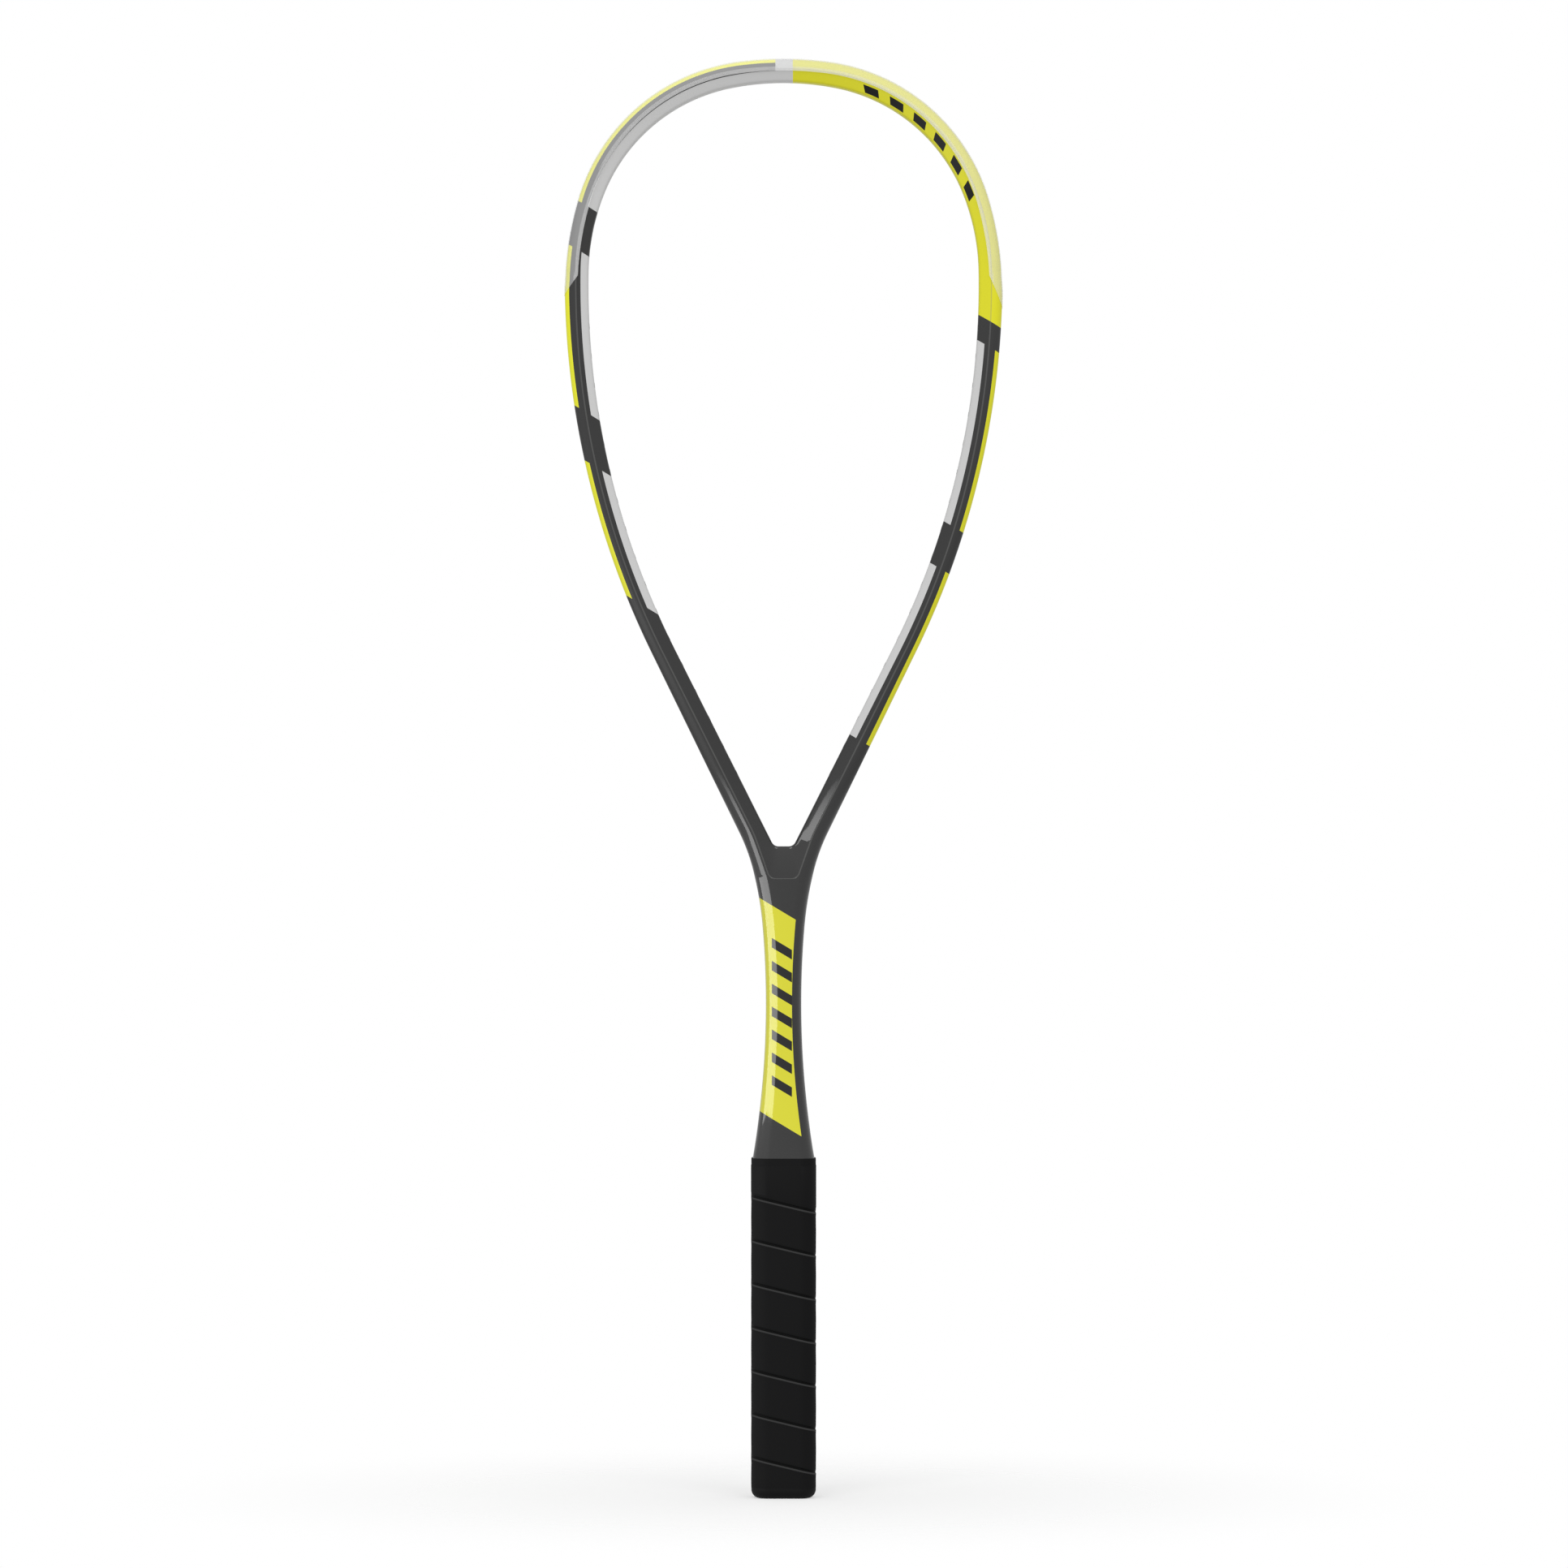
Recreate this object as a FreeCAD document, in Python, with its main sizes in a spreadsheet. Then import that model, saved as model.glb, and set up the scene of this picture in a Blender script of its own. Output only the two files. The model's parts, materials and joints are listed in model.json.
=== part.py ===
"""Unstrung squash racket, teardrop head, as a FreeCAD parametric document.

Frame of the model: Z runs from the butt up the shaft to the crown, X runs across
the head, and Y is square to the string plane.  The origin is the middle of the butt face.
All sizes are millimetres and degrees.
"""
import FreeCAD, Part
import math
import os

import Sketcher
from FreeCAD import Placement, Rotation, Vector

DRIVING_SIZES = {
    # plan outline, from the crown down one side: tangent arcs, a straight leg, then the throat
    "overall_length": 686,
    "crown_radius": 166,
    "crown_sweep": 7.4,
    "shoulder_radius": 92,
    "shoulder_sweep": 65.5,
    "flank_radius": 151,
    "flank_sweep": 18.4,
    "taper_radius": 407,
    "taper_sweep": 24.7,
    "leg_run": 95.4,
    "throat_radius": 92.5,
    "throat_sweep": 11.5,
    "waist_radius": 165,
    "waist_sweep": 9.7,
    "shaft_radius": 435,
    "shaft_sweep": 4.8,
    "flare_start": 235.8,
    "flare_radius": 435,
    # frame tube section
    "beam_width": 11.1,
    "beam_depth": 18,
    "edge_radius": 4.7,
    "leg_spread": 0.75,
    "bevel_reach": 5.6,
    "bevel_drop": 3.4,
    "carbon_wall": 0.9,
    "web_wall": 1.2,
    "recess": 1.0,
    # throat wedge that closes the V; every drop is measured down from the crown
    "wedge_half_width": 6,
    "wedge_top_drop": 375.5,
    "wedge_bottom_drop": 391,
    "wedge_corner": 2,
    "wedge_inset": 1.6,
    # bumper guard
    "bumper_band": 6.2,
    "bumper_lip": 0.6,
    "bumper_end_drop": 111,
    # grommets
    "strip_top_drop": 120,
    "strip_bottom_drop": 355,
    "strip_height": 6.2,
    "groove_gap": 0.2,
    "strip_sink": 0.2,
    "barrel_diameter": 2.8,
    "barrel_bore": 1.7,
    "barrel_reach": 0.3,
    "hole_gap": 0.15,
    "first_hole": 7,
    "head_pitch": 13.2,
    "side_first_hole": 190,
    "side_pitch": 14.4,
    # handle and grip
    "grip_top": 162,
    "grip_width": 30.8,
    "grip_depth": 25.4,
    "grip_corner": 8,
    "grip_wall": 1.6,
    "flare_depth_radius": 298,
    "flare_depth_start": 207,
    "butt_height": 5,
    "butt_rounding": 4.3,
    "plug_length": 20,
    "plug_wall": 1.6,
    "foam_length": 96,
    "weight_length": 14,
    "collar_height": 3.5,
    "collar_taper": 0.5,
    "tape_height": 14,
    "tape_wall": 0.3,
    "staple_wire": 1.1,
    "staple_crown": 9,
    "staple_leg": 4,
}
HEAD_HOLES = 12
SIDE_HOLES = 17
PART_FOLDER = "parts"
TINY = 1e-6

document = FreeCAD.newDocument("squash_racket")


class Size:
    """A value that remembers the spreadsheet expression it comes from."""

    def __init__(self, text, value):
        self.text = text
        self.value = value

    def joined(self, sign, other, value):
        return Size(f"({self.text} {sign} {as_size(other).text})", value)

    def __add__(self, other):
        return self.joined("+", other, self.value + as_size(other).value)

    def __sub__(self, other):
        return self.joined("-", other, self.value - as_size(other).value)

    def __mul__(self, other):
        return self.joined("*", other, self.value * as_size(other).value)

    def __truediv__(self, other):
        return self.joined("/", other, self.value / as_size(other).value)


def as_size(value):
    """A plain number becomes a Size of its own."""
    return value if isinstance(value, Size) else Size(repr(value), value)


def make_sheet():
    """The sheet of driving sizes, one alias to a row, and the same values as Size objects."""
    sheet = document.addObject("Spreadsheet::Sheet", "sizes")
    for row, (alias, value) in enumerate(DRIVING_SIZES.items(), start=1):
        sheet.set(f"A{row}", alias)
        sheet.set(f"B{row}", str(value))
        sheet.setAlias(f"B{row}", alias)
    document.recompute()
    return {alias: Size(f"sizes.{alias}", value) for alias, value in DRIVING_SIZES.items()}


size = make_sheet()
zero = as_size(0)
quarter_turn = as_size(90)
half_depth = size["beam_depth"] / 2
outer_wall = size["recess"] + size["carbon_wall"]
wedge_top = size["overall_length"] - size["wedge_top_drop"]
wedge_bottom = size["overall_length"] - size["wedge_bottom_drop"]
bumper_end = size["overall_length"] - size["bumper_end_drop"]
strip_top = size["overall_length"] - size["strip_top_drop"]
strip_bottom = size["overall_length"] - size["strip_bottom_drop"]


# ---------------------------------------------------------------- sketch helpers
def origin_plane(body, role):
    """One of a body's own origin planes."""
    return next(f for f in body.Origin.OriginFeatures if f.Role == role)


def new_body(label):
    """An empty PartDesign body with its own label."""
    body = document.addObject("PartDesign::Body", label)
    body.Label = label
    return body


def new_sketch(body, label, role, height=zero):
    """A sketch on one of the body's origin planes, lifted along the plane's normal."""
    sketch = body.newObject("Sketcher::SketchObject", label)
    sketch.AttachmentSupport = [(origin_plane(body, role), "")]
    sketch.MapMode = "FlatFace"
    sketch.setExpression(".AttachmentOffset.Base.z", height.text)
    return sketch


def constrain(sketch, *terms):
    """Add one constraint; a Size at the end is bound to the sheet."""
    if isinstance(terms[-1], Size):
        value = terms[-1].value
        shown = math.radians(value) if terms[0] == "Angle" else value
        index = sketch.addConstraint(Sketcher.Constraint(*terms[:-1], shown))
        sketch.setExpression(f"Constraints[{index}]", terms[-1].text)
        return
    sketch.addConstraint(Sketcher.Constraint(*terms))


class Run:
    """A run of tangent arcs and lines in a sketch, walked from its start point.

    A positive sweep turns clockwise.  The run keeps its place and heading as plain
    numbers, and every radius, sweep and length as a constraint bound to the sheet.
    """

    def __init__(self, sketch, across, up, heading):
        self.sketch = sketch
        self.point = (across.value, up.value)
        self.heading = math.radians(heading)
        self.first = None
        self.last = None
        self.origin = (across, up)

    def join(self, index, start, end):
        """Tie a new edge to the one before it, or to its place in the sketch."""
        if self.last is None:
            across, up = self.origin
            constrain(self.sketch, "DistanceY", -1, 1, index, start, up)
            if across.value == 0:
                constrain(self.sketch, "PointOnObject", index, start, -2)
            else:
                constrain(self.sketch, "DistanceX", -1, 1, index, start, across)
            self.first = (index, start)
        else:
            constrain(self.sketch, "Tangent", *self.last, index, start)
        self.last = (index, end)

    def place_arc(self, radius, sweep):
        """Draw an arc of a signed sweep in radians and say which of its ends comes first."""
        side = math.copysign(1, sweep)
        x, y = self.point
        cx = x + radius * math.sin(self.heading) * side
        cy = y - radius * math.cos(self.heading) * side
        begin = math.atan2(y - cy, x - cx)
        finish = begin - sweep
        circle = Part.Circle(Vector(cx, cy, 0), Vector(0, 0, 1), radius)
        arc = Part.ArcOfCircle(circle, min(begin, finish), max(begin, finish))
        index = self.sketch.addGeometry(arc, False)
        self.point = (cx + radius * math.cos(finish), cy + radius * math.sin(finish))
        self.heading -= sweep
        return (index, 2, 1) if sweep > 0 else (index, 1, 2)

    def arc(self, radius, sweep):
        """An arc of a given radius and sweep."""
        first_heading = self.heading
        index, start, end = self.place_arc(radius.value, math.radians(sweep.value))
        was_first = self.last is None
        self.join(index, start, end)
        if was_first and math.sin(first_heading) == 0:
            constrain(self.sketch, "PointOnObject", index, 3, -2)
        constrain(self.sketch, "Radius", index, radius)
        turn = sweep if sweep.value > 0 else sweep * -1
        constrain(self.sketch, "Angle", index, turn)

    def arc_to_height(self, radius, height, clockwise):
        """An arc that ends where it reaches a height, on its way down."""
        side = 1 if clockwise else -1
        x, y = self.point
        cx = x + radius.value * math.sin(self.heading) * side
        cy = y - radius.value * math.cos(self.heading) * side
        end_angle = math.asin((height.value - cy) / radius.value)
        if not clockwise:
            end_angle = math.pi - end_angle
        sweep = math.atan2(y - cy, x - cx) - end_angle
        sweep = (sweep + math.pi) % (2 * math.pi) - math.pi
        index, start, end = self.place_arc(radius.value, sweep)
        self.join(index, start, end)
        constrain(self.sketch, "Radius", index, radius)
        constrain(self.sketch, "DistanceY", -1, 1, index, end, height)

    def line(self, length):
        """A straight run of a given length."""
        index = self.place_line(length.value)
        constrain(self.sketch, "Distance", index, length)

    def line_to(self, across=None, up=None):
        """A straight run, on the present heading, to a given place across or up."""
        x, y = self.point
        if across is not None:
            length = (across.value - x) / math.cos(self.heading)
        else:
            length = (up.value - y) / math.sin(self.heading)
        index = self.place_line(length)
        if across is not None:
            constrain(self.sketch, "DistanceX", -1, 1, index, 2, across)
        else:
            constrain(self.sketch, "DistanceY", -1, 1, index, 2, up)

    def place_line(self, length):
        """Draw a straight run of a length on the present heading and say its index."""
        x, y = self.point
        tip = (x + length * math.cos(self.heading), y + length * math.sin(self.heading))
        edge = Part.LineSegment(Vector(x, y, 0), Vector(*tip, 0))
        index = self.sketch.addGeometry(edge, False)
        self.join(index, 1, 2)
        self.point = tip
        return index

    def corner_to(self, points):
        """Straight edges, with corners between them, through further points (pairs of Size)."""
        for across, up in points:
            x, y = self.point
            tip = (across.value, up.value)
            edge = Part.LineSegment(Vector(x, y, 0), Vector(*tip, 0))
            index = self.sketch.addGeometry(edge, False)
            constrain(self.sketch, "Coincident", *self.last, index, 1)
            self.last = (index, 2)
            self.point = tip
            self.heading = math.atan2(tip[1] - y, tip[0] - x)
            if across.value == 0:
                constrain(self.sketch, "PointOnObject", index, 2, -2)
            else:
                constrain(self.sketch, "DistanceX", -1, 1, index, 2, across)
            constrain(self.sketch, "DistanceY", -1, 1, index, 2, up)

    def close_on_start(self):
        """A straight edge back to the first point."""
        across, up = self.origin
        start = Vector(across.value, up.value, 0)
        index = self.sketch.addGeometry(Part.LineSegment(Vector(*self.point, 0), start), False)
        constrain(self.sketch, "Coincident", *self.last, index, 1)
        constrain(self.sketch, "Coincident", index, 2, *self.first)

    def close_on_axis(self):
        """A level edge to the vertical axis and an edge up the axis to the start."""
        x, y = self.point
        start = self.origin[1].value
        level = self.sketch.addGeometry(Part.LineSegment(Vector(x, y, 0), Vector(0, y, 0)), False)
        up = self.sketch.addGeometry(Part.LineSegment(Vector(0, y, 0), Vector(0, start, 0)), False)
        constrain(self.sketch, "Coincident", *self.last, level, 1)
        constrain(self.sketch, "Horizontal", level)
        constrain(self.sketch, "PointOnObject", level, 2, -2)
        constrain(self.sketch, "Coincident", level, 2, up, 1)
        constrain(self.sketch, "Coincident", up, 2, *self.first)


def pad(body, sketch, label, length, midplane=False, backward=False):
    """Pad a sketch by a bound length."""
    feature = body.newObject("PartDesign::Pad", label)
    feature.Profile = sketch
    feature.Midplane = midplane
    feature.Reversed = backward
    feature.setExpression("Length", length.text)
    return feature


def pocket_through(body, sketch, label):
    """Cut a sketch right through the body, both ways."""
    feature = body.newObject("PartDesign::Pocket", label)
    feature.Profile = sketch
    feature.Midplane = True
    feature.Type = "ThroughAll"
    return feature


def mirror_across(body, features, label):
    """Repeat a body's features on the other side of the YZ plane."""
    feature = body.newObject("PartDesign::Mirrored", label)
    feature.Originals = features
    feature.MirrorPlane = (origin_plane(body, "YZ_Plane"), [""])
    body.Tip = feature
    return feature


# ---------------------------------------------------------------- solid helpers
def part_object(kind, label, **properties):
    """A Part workbench object with its label and plain properties."""
    item = document.addObject(kind, label)
    item.Label = label
    for name, value in properties.items():
        setattr(item, name, value)
    return item


def cut(label, base, tool):
    """One shape with another taken away."""
    return part_object("Part::Cut", label, Base=base, Tool=tool)


def common(label, first, second):
    """What two shapes share."""
    return part_object("Part::Common", label, Base=first, Tool=second)


def fused(label, pieces):
    """Several touching shapes as one, without seams."""
    return part_object("Part::MultiFuse", label, Shapes=pieces, Refine=True)


def group(label, pieces):
    """Several separate solids as one shape."""
    return part_object("Part::Compound", label, Links=pieces)


def mirrored(label, source, normal):
    """A copy of a shape on the other side of a plane through the origin."""
    return part_object("Part::Mirroring", label, Source=source, Normal=normal)


def whole_from_quarter(label, quarter):
    """A quarter racket repeated behind the string plane, then across the shaft."""
    back = mirrored(label + "_back", quarter, Vector(0, 1, 0))
    half = fused(label + "_half", [quarter, back])
    far = mirrored(label + "_far", half, Vector(1, 0, 0))
    return fused(label, [half, far])


def box(label, low, high):
    """A box between two corners, each corner three Sizes."""
    item = part_object("Part::Box", label)
    for name, axis, start, end in zip(("Length", "Width", "Height"), "xyz", low, high):
        item.setExpression(name, (end - start).text)
        item.setExpression(f".Placement.Base.{axis}", start.text)
    return item


def round_edges(body, label, names, radius, base):
    """A PartDesign fillet on named edges of the base feature."""
    feature = body.newObject("PartDesign::Fillet", label)
    feature.Base = (base, names)
    feature.setExpression("Radius", radius.text)
    return feature


def edge_names(shape, wanted):
    """Names of the edges that pass a test."""
    return [f"Edge{n}" for n, edge in enumerate(shape.Edges, start=1) if wanted(edge)]


def lies_level(edge, height):
    """Whether an edge lies in the level plane at a height."""
    return abs(edge.BoundBox.ZMin - height) < 10 * TINY and abs(edge.BoundBox.ZMax - height) < 10 * TINY


def rounded_block(label, half_width, half_deep, corner, bottom, top, foot=None, head=None):
    """An upright block with rounded corners, and its foot or head edge rounded where asked."""
    body = new_body(label)
    block = body.newObject("PartDesign::AdditiveBox", label + "_box")
    block.setExpression("Length", (half_width * 2).text)
    block.setExpression("Width", (half_deep * 2).text)
    block.setExpression("Height", (top - bottom).text)
    block.AttachmentSupport = [(origin_plane(body, "XY_Plane"), "")]
    block.MapMode = "FlatFace"
    block.setExpression(".AttachmentOffset.Base.x", (half_width * -1).text)
    block.setExpression(".AttachmentOffset.Base.y", (half_deep * -1).text)
    block.setExpression(".AttachmentOffset.Base.z", bottom.text)
    document.recompute()
    upright = edge_names(block.Shape, lambda e: e.BoundBox.ZLength > TINY)
    rounded = round_edges(body, label + "_corners", upright, corner, block)
    for name, level, radius in (("foot", bottom, foot), ("head", top, head)):
        if radius is not None:
            document.recompute()
            rim = edge_names(rounded.Shape, lambda e: lies_level(e, level.value))
            rounded = round_edges(body, f"{label}_{name}", rim, radius, rounded)
    return body


# ---------------------------------------------------------------- the racket's outline
def walk_head(run, inset, extra_taper=zero):
    """The four head arcs, crown to taper, moved inwards by inset."""
    run.arc(size["crown_radius"] - inset, size["crown_sweep"])
    run.arc(size["shoulder_radius"] - inset, size["shoulder_sweep"])
    run.arc(size["flank_radius"] - inset, size["flank_sweep"])
    run.arc(size["taper_radius"] - inset, size["taper_sweep"] + extra_taper)


def outline_quarter(label, inset, depth, edge):
    """A quarter of the racket's outline, inset all round, with its outer edge rounded.

    It is a slab as deep as the handle, with its face cut back to the beam depth
    above the flare.  It ends level with the top of the grip.
    """
    foot = size["grip_top"] + inset
    far = size["grip_depth"]
    above = size["overall_length"] + far
    body = new_body(label)
    plan = new_sketch(body, label + "_plan", "XZ_Plane")
    run = Run(plan, zero, size["overall_length"] - inset, 0)
    walk_head(run, inset)
    run.line(size["leg_run"])
    run.arc(size["throat_radius"] + inset, size["throat_sweep"] * -1)
    run.arc(size["waist_radius"] + inset, size["waist_sweep"] * -1)
    run.arc(size["shaft_radius"] + inset, size["shaft_sweep"] * -1)
    run.line_to(up=size["flare_start"])
    run.arc_to_height(size["flare_radius"] + inset, foot, clockwise=False)
    run.close_on_axis()
    pad(body, plan, label + "_slab", far, backward=True)
    side = new_sketch(body, label + "_side", "YZ_Plane")
    run = Run(side, depth, above, -90)
    run.line_to(up=size["flare_depth_start"])
    run.arc_to_height(size["flare_depth_radius"] + half_depth - depth, foot, clockwise=False)
    run.corner_to([(far * 2, foot), (far * 2, above)])
    run.close_on_start()
    face = pocket_through(body, side, label + "_face")
    document.recompute()

    def outer(e):
        return e.BoundBox.YMin > TINY and e.BoundBox.XMax > TINY and e.BoundBox.ZLength > TINY

    round_edges(body, label + "_edge", edge_names(face.Shape, outer), edge, face)
    document.recompute()
    return body


def open_window(body, label, inset, grow, depth, bevel_share):
    """Cut the string opening and the wedge seat below it, then bevel the opening's rim."""
    side = size["wedge_half_width"] + grow
    floor = wedge_bottom - grow
    corner = size["wedge_corner"] + grow
    plan = new_sketch(body, label + "_window", "XZ_Plane")
    run = Run(plan, zero, size["overall_length"] - inset, 0)
    walk_head(run, inset, size["leg_spread"])
    run.line_to(across=side)
    run.corner_to([(side, floor + corner)])
    run.arc(corner, quarter_turn)
    run.close_on_axis()
    window = pocket_through(body, plan, label + "_opening")
    document.recompute()
    rim = set()
    for wall in window.Shape.Faces:
        bounds = wall.BoundBox
        full_depth = bounds.YMin < TINY and abs(bounds.YMax - depth.value) < TINY
        if full_depth and bounds.XMax > side.value + TINY:
            rim.update(e.hashCode() for e in wall.Edges if e.BoundBox.YMin > depth.value - TINY)
    bevel = body.newObject("PartDesign::Chamfer", label + "_bevel")
    bevel.Base = (window, edge_names(window.Shape, lambda e: e.hashCode() in rim))
    bevel.ChamferType = "Two distances"
    bevel.setExpression("Size", (size["bevel_reach"] * bevel_share).text)
    bevel.setExpression("Size2", (size["bevel_drop"] * bevel_share).text)
    document.recompute()
    return bevel


def outline_point(distance):
    """Point on the outer outline a distance along it from the crown, and the inward normal.

    The place is worked out arc by arc, as the sketches draw it, in the XZ plane.
    """
    across, up, heading = 0.0, size["overall_length"].value, 0.0
    arcs = [(size[f"{n}_radius"].value, math.radians(size[f"{n}_sweep"].value))
            for n in ("crown", "shoulder", "flank", "taper")]
    for radius, sweep in arcs:
        turn = min(sweep, distance / radius)
        centre = (across + radius * math.sin(heading), up - radius * math.cos(heading))
        heading -= turn
        across = centre[0] - radius * math.sin(heading)
        up = centre[1] + radius * math.cos(heading)
        distance -= radius * turn
    across += distance * math.cos(heading)
    up += distance * math.sin(heading)
    return Vector(across, 0, up), Vector(math.sin(heading), 0, -math.cos(heading))


def radial_pins(label, distances, start, end, diameter):
    """Round pins square to the frame on the right side, from one depth below the outline to another."""
    pins = []
    for number, distance in enumerate(distances, start=1):
        point, inward = outline_point(distance)
        pin = part_object("Part::Cylinder", f"{label}_{number}")
        pin.setExpression("Radius", (diameter / 2).text)
        pin.setExpression("Height", (end - start).text)
        pin.Placement = Placement(point + inward * start.value, Rotation(Vector(0, 0, 1), inward))
        pins.append(pin)
    return pins


# ---------------------------------------------------------------- helper shapes
head_holes = [size["first_hole"].value + size["head_pitch"].value * n for n in range(HEAD_HOLES)]
side_holes = [size["side_first_hole"].value + size["side_pitch"].value * n
              for n in range(SIDE_HOLES)]
inner_reach = size["beam_width"] + size["barrel_reach"]
past_frame = size["beam_width"] * 2
core_half_width = size["grip_width"] / 2 - size["grip_wall"]
core_half_deep = size["grip_depth"] / 2 - size["grip_wall"]
core_corner = size["grip_corner"] - size["grip_wall"]
wide = size["overall_length"]


def recessed_outline():
    """The racket's outline as it is under the bumper and at the floor of the strip groove."""
    quarter = outline_quarter("recessed", size["recess"], half_depth, size["edge_radius"])
    return whole_from_quarter("recessed_outline", quarter)


def both_sides(label, right):
    """A right-hand piece and its mirror image as one shape."""
    return group(label, [right, mirrored(label + "_left", right, Vector(1, 0, 0))])


# ---------------------------------------------------------------- grommets and bumper
def make_bumper(recess_shape):
    """The guard round the head: a shell over the outer edge, with tubes for the strings."""
    quarter = outline_quarter("bumper_skin", zero, half_depth + size["bumper_lip"],
                              size["edge_radius"] + size["bumper_lip"])
    skin = whole_from_quarter("bumper_whole", quarter)
    above = box("bumper_zone", (wide * -1, wide * -1, bumper_end), (wide, wide, wide * 2))
    clear = outline_quarter("bumper_clear", size["bumper_band"], size["grip_depth"] / 2,
                            size["carbon_wall"])
    head = common("bumper_head", skin, above)
    shell = cut("bumper_shell_full", head, recess_shape)
    shell = cut("bumper_shell", shell, whole_from_quarter("bumper_clear_whole", clear))
    start = size["recess"] / 2
    barrels = radial_pins("head_barrel", head_holes, start, inner_reach, size["barrel_diameter"])
    bores = radial_pins("head_bore", head_holes, past_frame * -1, past_frame, size["barrel_bore"])
    solid = fused("bumper_solid", [shell, both_sides("head_barrels", group("head_barrels_right", barrels))])
    return shell, cut("head_bumper", solid, both_sides("head_bores", group("head_bores_right", bores)))


def make_strip(recess_shape):
    """One side's grommet strip, in its groove, with tubes for the strings; right hand."""
    half_height = size["strip_height"] / 2
    quarter = outline_quarter("strip_skin", size["strip_sink"], half_depth, size["edge_radius"])
    zone = box("strip_zone", (zero, half_height * -1, strip_bottom),
               (wide, half_height, strip_top))
    band = common("strip_face", whole_from_quarter("strip_whole", quarter), zone)
    band = cut("strip_band", band, recess_shape)
    start = size["recess"] / 2
    barrels = radial_pins("side_barrel", side_holes, start, inner_reach, size["barrel_diameter"])
    bores = radial_pins("side_bore", side_holes, past_frame * -1, past_frame, size["barrel_bore"])
    solid = fused("strip_solid", [band] + barrels)
    return cut("grommet_strip_right", solid, group("side_bores", bores))


# ---------------------------------------------------------------- frame
def make_frame(recess_shape, bumper_shell, wires):
    """The hollow carbon hairpin: hoop, throat, shaft with its web, flare and handle core."""
    quarter = outline_quarter("frame_skin", zero, half_depth, size["edge_radius"])
    open_window(quarter, "frame_skin", size["beam_width"], zero, half_depth, as_size(1))
    core = rounded_block("handle_core", core_half_width, core_half_deep, core_corner,
                         size["butt_height"], size["grip_top"])
    outside = fused("frame_outside", [whole_from_quarter("frame_whole", quarter), core])

    wall = size["carbon_wall"]
    cavity_depth = half_depth - wall
    cavity = outline_quarter("hollow", outer_wall, cavity_depth, size["edge_radius"] - outer_wall)
    reach = size["bevel_reach"].value
    drop = size["bevel_drop"].value
    slope = math.hypot(1 / reach, 1 / drop) - 1 / reach - 1 / drop
    open_window(cavity, "hollow", size["beam_width"] - wall, wall, cavity_depth,
                wall * slope + 1)
    hollow = whole_from_quarter("hollow_whole", cavity)
    web = box("shaft_web", (size["web_wall"] / -2, wide * -1, zero),
              (size["web_wall"] / 2, wide, wedge_bottom))
    legs = cut("hollow_legs", hollow, web)
    pocket = rounded_block("handle_hollow", core_half_width - wall, core_half_deep - wall,
                           core_corner - wall, zero, size["grip_top"] + outer_wall * 2)
    shell = cut("frame_shell", outside, fused("frame_hollow", [legs, pocket]))

    groove_half = size["strip_height"] / 2 + size["groove_gap"]
    gap = size["groove_gap"]
    zone = box("groove_zone", (wide * -1, groove_half * -1, strip_bottom - gap),
               (wide, groove_half, strip_top + gap))
    groove = cut("strip_groove", zone, recess_shape)
    recessed = cut("frame_recessed", shell, group("frame_recesses", [groove, bumper_shell] + wires))
    hole = size["barrel_diameter"] + size["hole_gap"] * 2
    holes = radial_pins("string_hole", head_holes + side_holes, past_frame * -1, past_frame, hole)
    return cut("frame_tube", recessed, both_sides("string_holes", group("string_holes_right", holes)))


def make_wedge():
    """The moulded wedge that closes the V between the legs, sunk a little below their faces."""
    body = new_body("throat_wedge")
    plan = new_sketch(body, "wedge_plan", "XZ_Plane")
    side = size["wedge_half_width"]
    run = Run(plan, zero, wedge_top, 0)
    run.line_to(across=side)
    run.corner_to([(side, wedge_bottom + size["wedge_corner"])])
    run.arc(size["wedge_corner"], quarter_turn)
    run.close_on_axis()
    face = half_depth - size["wedge_inset"]
    slab = pad(body, plan, "wedge_slab", face * 2, midplane=True)
    mirror_across(body, [slab], "wedge_both")
    return body


# ---------------------------------------------------------------- handle, grip and butt
def make_staple(label, span, place, turn):
    """A wire staple: a flat crown and two legs that point along its own -Y."""
    wire = size["staple_wire"]
    thick = wire / 2
    half = span / 2
    crown = box(label + "_crown", (half * -1, zero, wire / -2), (half, thick, wire / 2))
    legs = []
    for name, inner in (("left", half * -1), ("right", half - thick)):
        legs.append(box(f"{label}_{name}_leg", (inner, size["staple_leg"] * -1, wire / -2),
                        (inner + thick, zero, wire / 2)))
    staple = fused(label, [crown] + legs)
    staple.Placement = Placement(place, Rotation(Vector(0, 0, 1), turn))
    return staple


def make_wires():
    """The two staples that hold the butt cap, and the tack that holds the start of the grip."""
    height = (size["butt_height"] + size["plug_length"] / 2).value
    span = size["staple_crown"]
    front = make_staple("front_staple", span, Vector(0, core_half_deep.value, height), 0)
    back = make_staple("back_staple", span, Vector(0, -core_half_deep.value, height), 180)
    tack = make_staple("grip_tack", span, Vector(core_half_width.value, 0, height), -90)
    return front, back, tack


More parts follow.
